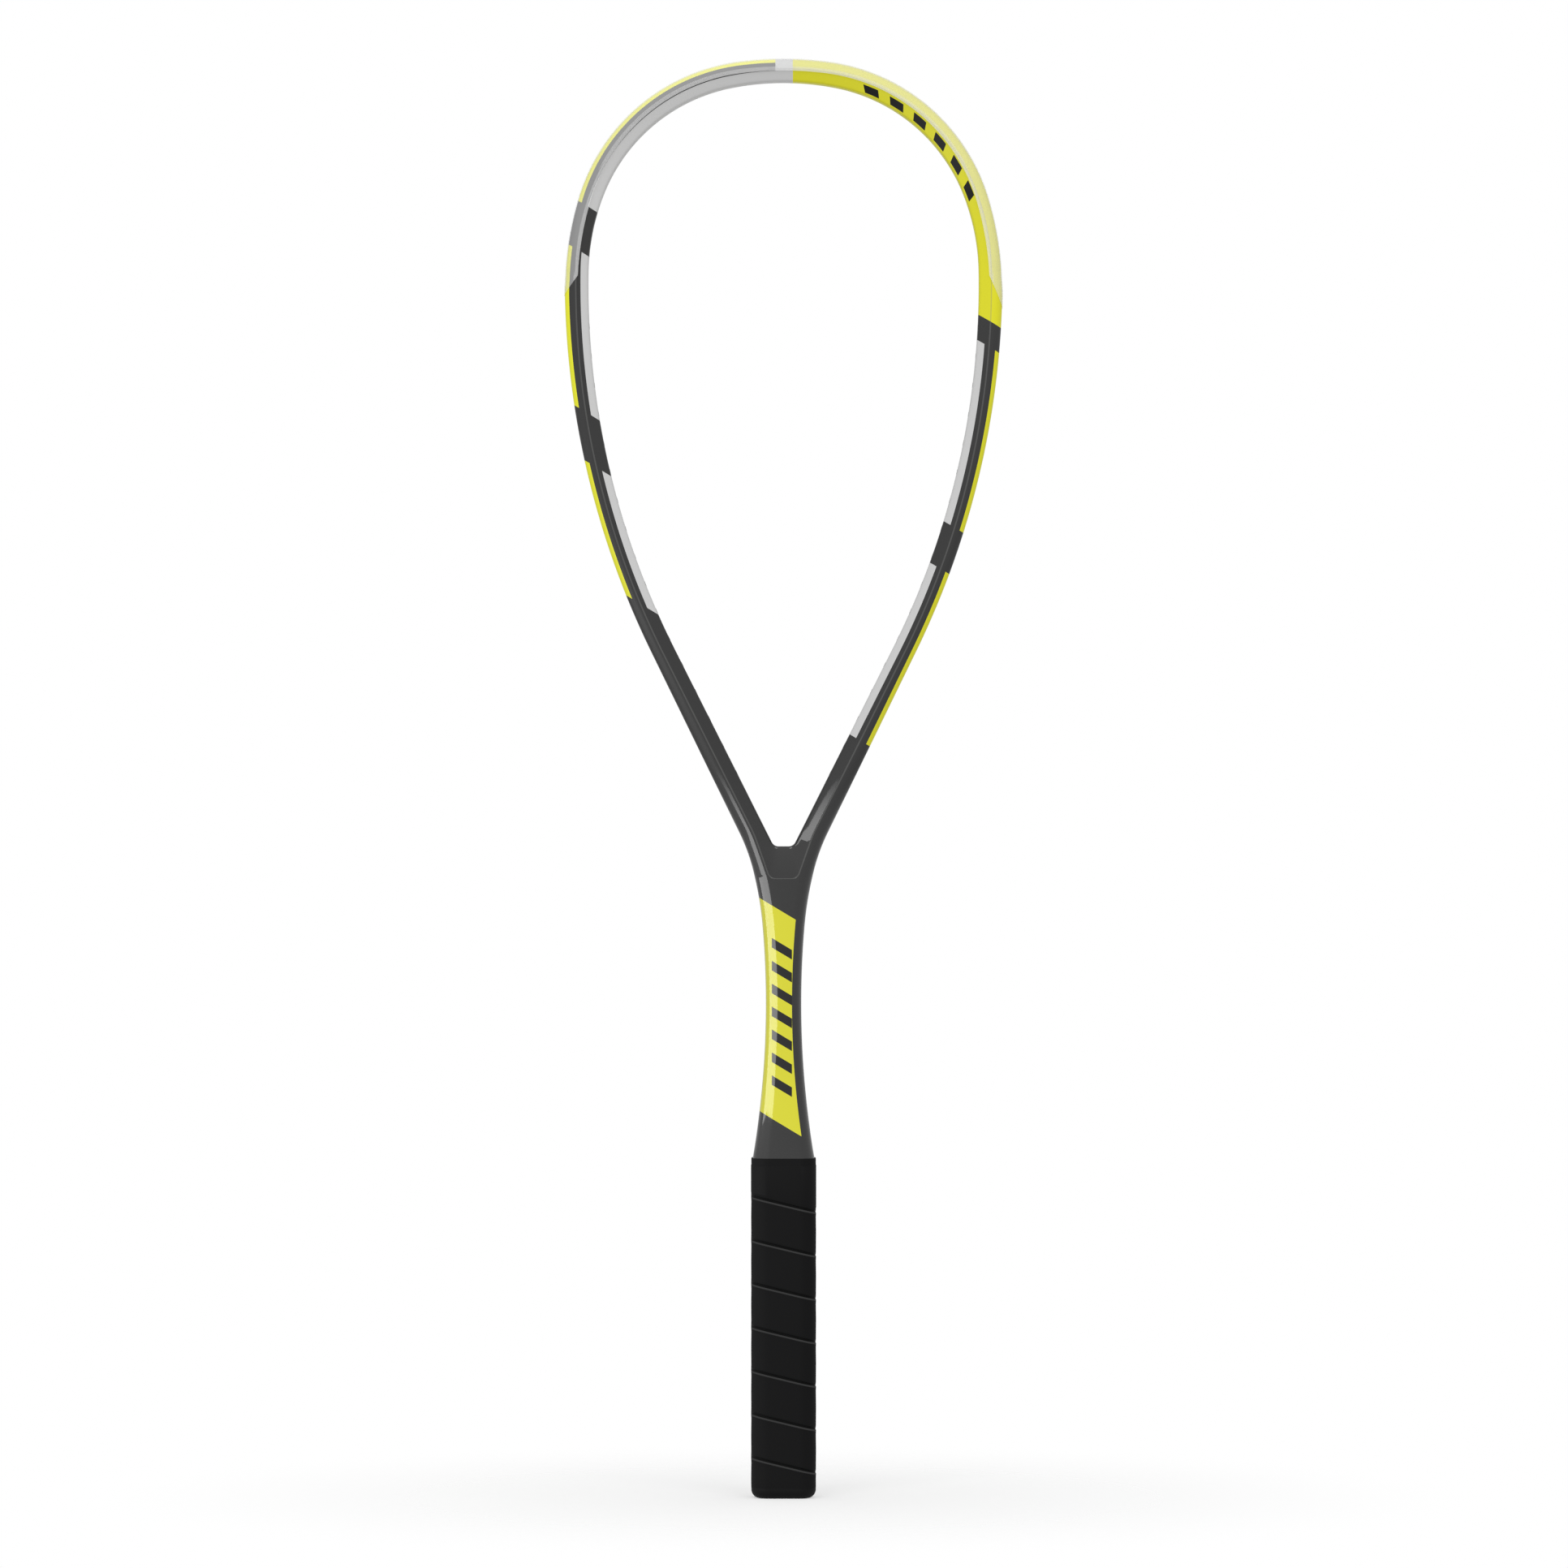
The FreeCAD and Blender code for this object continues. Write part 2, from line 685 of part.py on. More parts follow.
def make_handle(wires):
    """Everything round and inside the handle core."""
    wall = size["carbon_wall"]
    inner_width = core_half_width - wall
    inner_deep = core_half_deep - wall
    inner_corner = core_corner - wall
    half_width = size["grip_width"] / 2
    half_deep = size["grip_depth"] / 2
    butt = size["butt_height"]
    plug_top = butt + size["plug_length"]
    tape = size["tape_wall"]

    flange = rounded_block("butt_flange", half_width, half_deep, size["grip_corner"], zero, butt,
                           foot=size["butt_rounding"])
    plug = rounded_block("butt_plug", inner_width, inner_deep, inner_corner, butt, plug_top)
    inside = size["plug_wall"]
    bore = rounded_block("butt_bore", inner_width - inside, inner_deep - inside,
                         inner_corner - inside, butt, plug_top + butt)
    cap = cut("butt_cap_solid", fused("butt_cap_full", [flange, plug]), bore)

    butt_cap = cut("butt_cap", cap, group("cap_wire", wires))

    foam_block = rounded_block("foam_block", inner_width, inner_deep, inner_corner, plug_top,
                               plug_top + size["foam_length"])
    weight = part_object("Part::Cylinder", "balance_weight")
    weight.setExpression("Radius", (inner_deep / 2).text)
    weight.setExpression("Height", size["weight_length"].text)
    weight.setExpression(".Placement.Base.z", (plug_top + size["foam_length"] / 2).text)
    foam = cut("handle_foam", foam_block, weight)

    wrap_top = size["grip_top"] - size["collar_height"]
    core = rounded_block("grip_bore", core_half_width, core_half_deep, core_corner,
                         zero, size["overall_length"])
    outer = rounded_block("grip_outer", half_width, half_deep, size["grip_corner"], butt, wrap_top)
    tube = cut("grip_tube", outer, core)
    tape_zone = rounded_block("tape_outer", half_width, half_deep, size["grip_corner"],
                              wrap_top - size["tape_height"], wrap_top)
    tape_bore = rounded_block("tape_bore", half_width - tape, half_deep - tape,
                              size["grip_corner"] - tape, zero, wrap_top + butt)
    grip_tape = cut("finishing_tape", tape_zone, tape_bore)
    wrap = cut("grip_wrap", tube, group("wrap_cuts", [grip_tape] + wires))
    collar_outer = rounded_block("collar_outer", half_width, half_deep, size["grip_corner"],
                                 wrap_top, size["grip_top"], head=size["collar_taper"])
    collar = cut("grip_collar", collar_outer, core)
    return [butt_cap, foam, weight, wrap, grip_tape, collar]


# ---------------------------------------------------------------- the assembly
def make_racket():
    """Every piece of the racket, in order from the head to the butt."""
    recess_shape = recessed_outline()
    bumper_shell, bumper = make_bumper(recess_shape)
    strip = make_strip(recess_shape)
    other_strip = mirrored("grommet_strip_left", strip, Vector(1, 0, 0))
    front, back, tack = make_wires()
    wires = [front, back, tack]
    frame = make_frame(recess_shape, bumper_shell, wires)
    staples = group("butt_staples", [front, back])
    head = [frame, make_wedge(), bumper, strip, other_strip]
    return head + make_handle(wires) + [staples, tack]


def check_document():
    """Stop if any object failed to build."""
    for item in document.Objects:
        failed = [word for word in item.State if word in ("Invalid", "Error")]
        if failed:
            raise RuntimeError(f"{item.Label} did not build: {failed}")


def export(pieces):
    """Check each piece's solids and write one STEP file to a node."""
    os.makedirs(PART_FOLDER, exist_ok=True)
    for piece in pieces:
        if piece.Shape.isNull() or not piece.Shape.isValid() or not piece.Shape.Solids:
            raise RuntimeError(f"{piece.Label} has no valid solid")
    for piece in pieces:
        piece.Shape.exportStep(os.path.join(PART_FOLDER, piece.Label + ".step"))
        solids = len(piece.Shape.Solids)
        print(f"{piece.Label}: {solids} solid(s), {piece.Shape.Volume / 1000:.2f} cm3")


racket = make_racket()
document.recompute()
check_document()
export(racket)
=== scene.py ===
# %% [markdown]
# # A squash racket, unstrung
#
# The racket is already designed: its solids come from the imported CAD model, which is loaded
# here and never moved. This file gives it its looks. The frame, the throat wedge, the bumper
# guard, the grommet strips, the grip and its tape are surfaced again, finer than the CAD needs
# them. The collar, the butt cap and what hides inside the handle keep their CAD shapes and
# only get better materials.
#
# Lengths are millimetres in the recipes and become metres when a mesh is made.

# %% Load the frame
import json
import bmesh
import bpy
import numpy as np
from mathutils import Matrix, Vector

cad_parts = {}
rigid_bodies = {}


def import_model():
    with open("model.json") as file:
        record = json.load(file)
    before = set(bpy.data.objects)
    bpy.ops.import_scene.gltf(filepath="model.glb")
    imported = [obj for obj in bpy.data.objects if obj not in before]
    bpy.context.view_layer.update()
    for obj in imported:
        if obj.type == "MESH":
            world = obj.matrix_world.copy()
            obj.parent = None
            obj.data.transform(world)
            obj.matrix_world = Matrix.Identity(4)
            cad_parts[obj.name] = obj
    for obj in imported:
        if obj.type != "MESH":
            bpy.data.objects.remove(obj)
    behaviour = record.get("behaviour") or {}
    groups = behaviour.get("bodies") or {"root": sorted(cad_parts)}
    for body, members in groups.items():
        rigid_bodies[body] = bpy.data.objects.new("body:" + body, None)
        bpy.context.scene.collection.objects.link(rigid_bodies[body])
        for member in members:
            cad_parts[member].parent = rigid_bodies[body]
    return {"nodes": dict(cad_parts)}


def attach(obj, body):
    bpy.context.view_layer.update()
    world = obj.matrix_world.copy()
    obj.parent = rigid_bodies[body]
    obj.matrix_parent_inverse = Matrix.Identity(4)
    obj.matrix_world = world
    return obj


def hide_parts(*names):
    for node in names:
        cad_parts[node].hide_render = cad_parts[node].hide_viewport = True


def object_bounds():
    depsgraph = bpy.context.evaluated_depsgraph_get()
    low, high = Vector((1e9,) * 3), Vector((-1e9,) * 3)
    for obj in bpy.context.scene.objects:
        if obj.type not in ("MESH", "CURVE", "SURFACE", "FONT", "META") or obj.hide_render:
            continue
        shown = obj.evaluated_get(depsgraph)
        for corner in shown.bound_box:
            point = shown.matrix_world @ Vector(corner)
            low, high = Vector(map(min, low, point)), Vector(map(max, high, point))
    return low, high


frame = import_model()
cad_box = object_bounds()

MM = 0.001
crown_height = cad_box[1].z / MM
print(f"racket {crown_height:.1f} mm long, nodes: {sorted(frame['nodes'])}")

# %% [markdown]
# ## The camera, the floor and the light
#
# The racket is seen square on, from far away with a long lens, so its two faces hide each
# other and the outline is true. It stands on its butt on a pale floor that fades out into the
# white surroundings, as a seamless paper sweep does. One large soft light stands above on the
# left and one on the right. Two strips to the left, one beside the other, are there for
# their reflection only: together they draw the long gloss line down the shaft.

# %% Camera
VIEW_HEIGHT = 748.0
VIEW_CENTRE_X, VIEW_CENTRE_Z = 0.2, 340.2
LENS, SENSOR = 200.0, 36.0
view_distance = VIEW_HEIGHT * LENS / SENSOR
camera_data = bpy.data.cameras.new("camera")
camera_data.lens = LENS
camera_data.sensor_width = SENSOR
camera = bpy.data.objects.new("camera", camera_data)
camera.location = Vector((VIEW_CENTRE_X, -view_distance, VIEW_CENTRE_Z)) * MM
camera.rotation_euler = (np.pi / 2, 0, 0)
bpy.context.scene.collection.objects.link(camera)
bpy.context.scene.camera = camera
bpy.context.scene.view_settings.view_transform = "Standard"
print(f"camera {view_distance:.0f} mm away, {VIEW_HEIGHT:.0f} mm in view")


# %% Small helpers for node trees
def link(material, source, target):
    """Join an output socket to an input socket."""
    material.node_tree.links.new(source, target)


def node(tree, kind, **settings):
    """Add a node; settings name its plain properties."""
    made = tree.nodes.new(kind)
    for name, value in settings.items():
        setattr(made, name, value)
    return made


def set_inputs(made, **values):
    """Set unlinked inputs by name, with _ for a space."""
    for name, value in values.items():
        made.inputs[name.replace("_", " ")].default_value = value
    return made


# %% Surroundings: white to the camera, a softer white as a light
ROOM_LIGHT = 0.66
world = bpy.data.worlds.new("white_room")
bpy.context.scene.world = world
world.use_nodes = True
room = world.node_tree
room.nodes.clear()
seen = set_inputs(node(room, "ShaderNodeBackground"), Color=(1, 1, 1, 1), Strength=1.0)
lit = set_inputs(node(room, "ShaderNodeBackground"), Color=(1, 1, 1, 1), Strength=ROOM_LIGHT)
pick = node(room, "ShaderNodeMixShader")
rays = node(room, "ShaderNodeLightPath")
out = node(room, "ShaderNodeOutputWorld")
room.links.new(rays.outputs["Is Camera Ray"], pick.inputs["Fac"])
room.links.new(lit.outputs[0], pick.inputs[1])
room.links.new(seen.outputs[0], pick.inputs[2])
room.links.new(pick.outputs[0], out.inputs["Surface"])
print(f"surroundings light at {ROOM_LIGHT}")


# %% Lights
def area_light(name, place, aim, size, power, shape="RECTANGLE", up=(0, 0, 1), gloss_only=False):
    """A light at a place, turned to face a point, its height nearest to up; in millimetres."""
    data = bpy.data.lights.new(name, "AREA")
    data.shape = shape
    data.size = size[0] * MM
    data.size_y = size[1] * MM
    data.energy = power
    light = bpy.data.objects.new(name, data)
    light.location = Vector(place) * MM
    back = (Vector(place) - Vector(aim)).normalized()
    side = Vector(up).cross(back).normalized()
    light.rotation_mode = "QUATERNION"
    light.rotation_quaternion = Matrix((side, back.cross(side), back)).transposed().to_quaternion()
    light.visible_camera = False
    light.visible_diffuse = not gloss_only
    bpy.context.scene.collection.objects.link(light)
    print(f"{name}: {size[0]:.0f} x {size[1]:.0f} mm, {power} W")


SOFT_SIZE = (1100, 1100)
STRIP_HEIGHT, STRIP_Z = 200, 200
middle = (0, 0, crown_height / 2)
shaft_edge = (-10, 0, STRIP_Z)
area_light("key_left", (-700, -1900, 2100), middle, SOFT_SIZE, power=18)
area_light("fill_right", (800, -1900, 2100), middle, SOFT_SIZE, power=14)
area_light("shaft_strip_front", (-460, -536, STRIP_Z), shaft_edge, (652, STRIP_HEIGHT), power=2.2,
           gloss_only=True)
area_light("shaft_strip_side", (-695, -146, STRIP_Z), shaft_edge, (330, STRIP_HEIGHT), power=1.1,
           gloss_only=True)

# %% Floor
FLOOR_RADIUS, FLOOR_SIDES = 0.4, 96
FADE_START, FADE_END, FLOOR_ALPHA = 0.03, 0.34, 0.5
floor_mesh = bpy.data.meshes.new("floor")
angles = np.linspace(0, 2 * np.pi, FLOOR_SIDES + 1)[:-1]
rim = np.stack([np.cos(angles), np.sin(angles), 0 * angles], axis=1) * FLOOR_RADIUS
floor_mesh.from_pydata(rim.tolist(), [], [list(range(FLOOR_SIDES))])
floor = bpy.data.objects.new("floor", floor_mesh)
bpy.context.scene.collection.objects.link(floor)
paper = bpy.data.materials.new("paper_floor")
paper.use_nodes = True
paper_shader = paper.node_tree.nodes["Principled BSDF"]
set_inputs(paper_shader, Base_Color=(0.93, 0.93, 0.93, 1), Roughness=0.9)
spot = node(paper.node_tree, "ShaderNodeTexCoord")
from_racket = node(paper.node_tree, "ShaderNodeVectorMath", operation="LENGTH")
fade = node(paper.node_tree, "ShaderNodeMapRange", interpolation_type="SMOOTHSTEP")
set_inputs(fade, From_Min=FADE_START, From_Max=FADE_END, To_Min=FLOOR_ALPHA, To_Max=0.0)
link(paper, spot.outputs["Object"], from_racket.inputs[0])
link(paper, from_racket.outputs["Value"], fade.inputs["Value"])
link(paper, fade.outputs["Result"], paper_shader.inputs["Alpha"])
floor.data.materials.append(paper)
print(f"floor {2 * FLOOR_RADIUS:.1f} m across, gone {FADE_END} m from the racket")

# %% [markdown]
# ## Outlines as runs of tangent arcs
#
# A racket's outline is drawn by its maker as arcs that flow into one another, so it is kept
# that way: a run is a start point, a heading, and a list of steps, each an arc or a straight
# line. Along a run the heading changes evenly in each step, and the place has an exact
# formula, so any number of points is worked out at once and the curve never has corners that
# it shouldn't have. The plane is X across and Z up.


# %% Runs
def arc(radius, sweep):
    """A step that turns by sweep degrees, clockwise when positive: (length, curvature)."""
    turn = np.radians(sweep)
    return abs(turn) * radius, np.sign(sweep) / radius


def line(length):
    """A straight step, kept as an arc with a radius of ten kilometres."""
    return length, 1e-7


class Run:
    """A path of tangent steps.

    In one step, after a distance d, heading = h - k d, x = x0 + (sin h - sin(h - k d)) / k
    and z = z0 + (cos(h - k d) - cos h) / k, where k is the step's curvature.
    """

    def __init__(self, start, heading, steps):
        self.lengths = np.array([s[0] for s in steps])
        self.bends = np.array([s[1] for s in steps])
        self.begins = np.concatenate([[0], np.cumsum(self.lengths)])
        turned = np.concatenate([[0], np.cumsum(self.lengths * self.bends)])
        self.headings = np.radians(heading) - turned
        x, z = [start[0]], [start[1]]
        for length, bend, h in zip(self.lengths, self.bends, self.headings):
            x.append(x[-1] + (np.sin(h) - np.sin(h - bend * length)) / bend)
            z.append(z[-1] + (np.cos(h - bend * length) - np.cos(h)) / bend)
        self.x, self.z = np.array(x), np.array(z)
        self.length = self.begins[-1]

    def at(self, distance):
        """x, z and heading at an array of distances along the run."""
        distance = np.asarray(distance, float)
        step = np.clip(np.searchsorted(self.begins, distance, "right") - 1, 0, len(self.bends) - 1)
        d, k, h = distance - self.begins[step], self.bends[step], self.headings[step]
        x = self.x[step] + (np.sin(h) - np.sin(h - k * d)) / k
        z = self.z[step] + (np.cos(h - k * d) - np.cos(h)) / k
        return x, z, h - k * d

    def distance_at_height(self, height):
        """Where the lower part of the run passes a height."""
        d = np.linspace(0, self.length, 4000)
        z = self.at(d)[1]
        return np.interp(-np.asarray(height, float), -z, d)


# %% The three outlines
BEAM_WIDTH = 11.1
BEVEL = 5.8
GRIP_TOP = 162.0
V_BOTTOM, WEDGE_BOTTOM = 310.5, 295.0


def run_to_axis(start_z, inset, straight, corner, drop_to):
    """The opening's edge, grown by inset: four head arcs, a straight leg, a corner, the axis.

    The straight leg ends where the corner's arc would bring the run to the height drop_to.
    """
    arcs = [arc(128.3 + inset, 11.2), arc(82.6 + inset, 56.8), arc(105.2 + inset, 21.1),
            arc(387.6 + inset, 27.6)]
    end = Run((0, start_z), 0, arcs + straight)
    heading = end.headings[-1]
    turn = np.pi + heading
    rest = (end.z[-1] - drop_to - corner * (1 + np.cos(heading))) / -np.sin(heading)
    steps = arcs + straight + [line(rest), (turn * corner, 1 / corner)]
    across = Run((0, start_z), 0, steps).x[-1]
    return Run((0, start_z), 0, steps + [line(across)])


outer = Run((0, crown_height), 0, [
    arc(165.6, 7.4), arc(92.2, 65.5), arc(151.3, 18.4), arc(406.7, 24.7), line(96.1),
    arc(92.5, -11.5), arc(165.4, -9.7), arc(435, -15.6)])
inner = run_to_axis(crown_height - BEAM_WIDTH, 0, [], 3.6, V_BOTTOM)
crest = run_to_axis(crown_height - BEAM_WIDTH + BEVEL, BEVEL, [line(92), arc(60, -7)], 4.0,
                    WEDGE_BOTTOM)
for name, run in (("outer", outer), ("inner", inner), ("crest", crest)):
    ends = ", ".join(f"({x:.1f}, {z:.1f})" for x, z in zip(run.x, run.z))
    print(f"{name} {run.length:.1f} mm: {ends}")


# %% [markdown]
# ## Sections across the beam
#
# The frame is one tube that is wide at its outer side and bevelled towards the strings. A
# modeller could sweep a drawn section along the hoop, but the section changes all the way: it
# widens into the throat, the bevel grows into the wedge, and the handle flares. So each row of
# the surface finds its own three places in the plan: a point on the crest, where the flat face
# meets the bevel, and the nearest points on the outer and on the inner outline. Columns then
# go round the section between them.

# %% Rows: matching points on the three outlines
def nearest_on(run, x, z, count=24000):
    """Distance along a run of its nearest point to each (x, z), by trying points 0.03 mm apart."""
    tried = np.linspace(0, run.length, count)
    rx, rz, _ = run.at(tried)
    gaps = (rx - np.asarray(x)[:, None]) ** 2 + (rz - np.asarray(z)[:, None]) ** 2
    return tried[np.argmin(gaps, axis=1)]


HEAD_STEP, THROAT_STEP = 1.6, 0.4
SHAFT_ROWS = 90
SEAT_TOP = 313.0
throat_begins = crest.begins[5]
crest_steps = np.concatenate([
    np.arange(0, throat_begins, HEAD_STEP),
    np.arange(throat_begins, crest.length - 0.01, THROAT_STEP), [crest.length]])
crest_x, crest_z, _ = crest.at(crest_steps)
crest_x[-1] = 0.0
crest_foot = nearest_on(outer, crest_x, crest_z)
crest_foot[0] = 0.0
shaft_z = np.linspace(crest_z[-1], GRIP_TOP, SHAFT_ROWS)[1:]
foot_z = outer.at(crest_foot[-1:])[1][0]
shaft_foot_z = GRIP_TOP + (shaft_z - GRIP_TOP) * (foot_z - GRIP_TOP) / (crest_z[-1] - GRIP_TOP)
ridge_x = np.concatenate([crest_x, 0 * shaft_z])
ridge_z = np.concatenate([crest_z, shaft_z])
foot = np.concatenate([crest_foot, outer.distance_at_height(shaft_foot_z)])
foot = np.maximum.accumulate(foot)
side_x, side_z, _ = outer.at(foot)
lip = np.maximum.accumulate(nearest_on(inner, crest_x, crest_z))
lip[0], lip[-1] = 0.0, inner.length
lip_x, lip_z, _ = inner.at(lip)
lip_x[-1] = 0.0
HOOP_ROWS = int(np.argmax(crest_z < SEAT_TOP)) + 1
print(f"{len(ridge_z)} rows, {HOOP_ROWS} of them round the hoop; handle end x {side_x[-1]:.2f}")

# %% [markdown]
# ## Making a mesh out of patches
#
# A patch is a whole array of points, row by row. A piece is a few patches that share their
# edges. They are joined by merging the doubled points, the far side is the near side turned
# over, and the normals are worked out again afterwards because turning over swaps them.

# %% From patches to a mesh
SHARP = np.radians(28)


def quads(rows, cols):
    """Four-cornered faces of a grid, as indices into its points laid out row by row."""
    index = np.arange(rows * cols).reshape(rows, cols)
    corners = [index[:-1, :-1], index[1:, :-1], index[1:, 1:], index[:-1, 1:]]
    return np.stack(corners, axis=-1).reshape(-1, 4)


def make_piece(name, patches, values=None, caps=(), mirror=False, sharp=SHARP):
    """A mesh object from patches of points (rows, columns, 3) in millimetres.

    values holds, for each attribute, one array (rows, columns) to a patch. caps are lists of
    point numbers, counted through all the patches, that one flat face closes.
    """
    sizes = [p.shape[0] * p.shape[1] for p in patches]
    starts = np.concatenate([[0], np.cumsum(sizes)])
    points = np.concatenate([p.reshape(-1, 3) for p in patches])
    faces = [f for p, s in zip(patches, starts) for f in (quads(*p.shape[:2]) + s).tolist()]
    faces += [list(c) for c in caps]
    fields = {k: np.concatenate([np.ravel(a) for a in v]) for k, v in (values or {}).items()}
    if mirror:
        faces += [[i + len(points) for i in reversed(f)] for f in faces]
        points = np.concatenate([points, points * [-1, 1, 1]])
        fields = {k: np.tile(v, 2) for k, v in fields.items()}
    mesh = bpy.data.meshes.new(name)
    mesh.from_pydata((points * MM).tolist(), [], faces)
    for field, numbers in fields.items():
        mesh.attributes.new(field, "FLOAT", "POINT").data.foreach_set("value", numbers)
    tidy = bmesh.new()
    tidy.from_mesh(mesh)
    bmesh.ops.remove_doubles(tidy, verts=tidy.verts, dist=2e-6)
    bmesh.ops.recalc_face_normals(tidy, faces=tidy.faces)
    open_edges = sum(1 for e in tidy.edges if len(e.link_faces) != 2)
    tidy.to_mesh(mesh)
    tidy.free()
    mesh.shade_smooth()
    mesh.set_sharp_from_angle(angle=sharp)
    made = bpy.data.objects.new(name, mesh)
    bpy.context.scene.collection.objects.link(made)
    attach(made, "root")
    print(f"{name}: {len(mesh.polygons)} faces, {open_edges} open edges")
    return made


# %% Columns: the outer part of the section, from crest to crest round the outside
GUARD_RECESS = 0.4
GROOVE_HALF, GROOVE_DEEP = 3.3, 1.0
STRIP_TOP, STRIP_BOTTOM = 566.2, 330.8
BEAM_HALF_DEPTH = 9.0
BEVEL_DROP = 3.4
LIP_ROUNDING, LIP_SPREAD = 1.1, 1.1
CREST_DIP = 0.2
FACE_AT, FACE_DIP = np.array([0.0, 0.12, 0.3]), np.array([CREST_DIP, 0.06, 0.0])
BEVEL_AT = np.array([0.0, 0.15, 0.35])
HANDLE_EDGE, SHAFT_EDGE, BEAM_EDGE = 8.0, 6.3, 4.7
SHAFT_EDGE_FULL, SHAFT_EDGE_RUN = 310.0, 40.0
HANDLE_EDGE_RUN, FACE_LEFT = 45.0, 0.5
FLARE_DEPTH_RADIUS, FLARE_DEPTH_START = 298.0, 207.0
GUARD_LOW, GUARD_FULL = 573.0, 583.0

reach = np.hypot(side_x - ridge_x, side_z - ridge_z)
crested = np.arange(len(ridge_x)) < len(crest_x) - 1
flare = np.clip(FLARE_DEPTH_START - ridge_z, 0, None)
half_depth = BEAM_HALF_DEPTH + FLARE_DEPTH_RADIUS - np.sqrt(FLARE_DEPTH_RADIUS ** 2 - flare ** 2)
shaft_share = np.clip((SHAFT_EDGE_FULL + SHAFT_EDGE_RUN - ridge_z) / SHAFT_EDGE_RUN, 0, 1)
handle_share = np.clip(flare / HANDLE_EDGE_RUN, 0, 1)
edge = BEAM_EDGE + (SHAFT_EDGE - BEAM_EDGE) * shaft_share + (HANDLE_EDGE - SHAFT_EDGE) * handle_share
edge = np.minimum(edge, reach - FACE_LEFT)
print(f"half depth {half_depth.min():.1f} to {half_depth.max():.1f} mm, "
      f"edge radius {edge.min():.1f} to {edge.max():.1f} mm")


def sunk(z):
    """How far the frame is let in under the guard, 0 to 1 over ten millimetres: 3 s^2 - 2 s^3."""
    s = np.clip((z - GUARD_LOW) / (GUARD_FULL - GUARD_LOW), 0, 1)
    return s * s * (3 - 2 * s)


def outer_section(rows):
    """Front crest, flat face, rounded edge, side wall with its groove, and the same behind.

    The edge is a quarter circle: in by r sin a and back by r (1 - cos a). The groove lowers
    the side wall between the strip's ends.
    """
    a = np.linspace(0, np.pi / 2, 9)
    length, deep, r = reach[rows, None], half_depth[rows, None], edge[rows, None]
    face_t = FACE_AT + 0 * length
    face_y = -deep + FACE_DIP * crested[rows, None]
    edge_t = length - r + r * np.sin(a)
    edge_y = -deep + r * (1 - np.cos(a))
    grooved = ((side_z[rows] < STRIP_TOP) & (side_z[rows] > STRIP_BOTTOM))[:, None]
    step = GROOVE_DEEP * grooved
    wall_t = length - step * np.array([0, 1, 1])
    wall_y = np.array([-GROOVE_HALF, -GROOVE_HALF, 0]) + 0 * length
    front_t = np.concatenate([face_t, edge_t, wall_t], axis=1)
    front_y = np.concatenate([face_y, edge_y, wall_y], axis=1)
    t = np.concatenate([front_t, front_t[:, -2::-1]], axis=1)
    y = np.concatenate([front_y, -front_y[:, -2::-1]], axis=1)
    ex = ((side_x - ridge_x) / reach)[rows, None]
    ez = ((side_z - ridge_z) / reach)[rows, None]
    shown = t - GUARD_RECESS * sunk(side_z[rows])[:, None] * np.clip(t / length, 0, 1)
    points = np.stack([ridge_x[rows, None] + ex * shown, y, ridge_z[rows, None] + ez * shown], -1)
    return points, t, length - t


# %% Columns: the inner part of the section, from crest to crest round the inside
def inner_section(rows):
    """Front crest, bevel, rounded lip, inner wall, and the same behind.

    The lip is a parabola through the bevel's foot and the wall's head, pulled to their corner.
    """
    wide = np.hypot(lip_x - crest_x, lip_z - crest_z)[rows, None]
    deep = BEAM_HALF_DEPTH - BEVEL_DROP
    u = np.linspace(0, 1, 6)
    size = LIP_ROUNDING
    start_in = LIP_SPREAD * size
    start = np.stack([wide - start_in, -deep - start_in * BEVEL_DROP / wide])
    corner = np.stack([wide, -deep + 0 * wide])
    end = np.stack([wide, -deep + size + 0 * wide])
    bend = start * (1 - u) ** 2 + corner * 2 * u * (1 - u) + end * u ** 2
    first_t = BEVEL_AT + 0 * wide
    first_y = np.maximum(CREST_DIP, first_t * BEVEL_DROP / wide) - BEAM_HALF_DEPTH
    front_t = np.concatenate([first_t, bend[0], wide], axis=1)
    front_y = np.concatenate([first_y, bend[1], 0 * wide], axis=1)
    t = np.concatenate([front_t, front_t[:, -2::-1]], axis=1)
    y = np.concatenate([front_y, -front_y[:, -2::-1]], axis=1)
    fx = (lip_x - crest_x)[rows, None] / wide
    fz = (lip_z - crest_z)[rows, None] / wide
    points = np.stack([crest_x[rows, None] + fx * t, y, crest_z[rows, None] + fz * t], -1)
    return points, t, wide - t


# %% [markdown]
# ## The frame
#
# One hollow carbon moulding makes the hoop, the throat, the shaft and the core of the handle.
# Here it is the outer part of the section for every row, the bevelled inner part for the rows
# round the hoop, and a plain wall where the throat wedge sits in the V. Below the grip's top
# edge it steps in to the handle core. Four numbers are kept at every point, for the paint:
# how far it is from the outer outline, from the inner one and from the crest, and how far
# along the outer outline it lies.

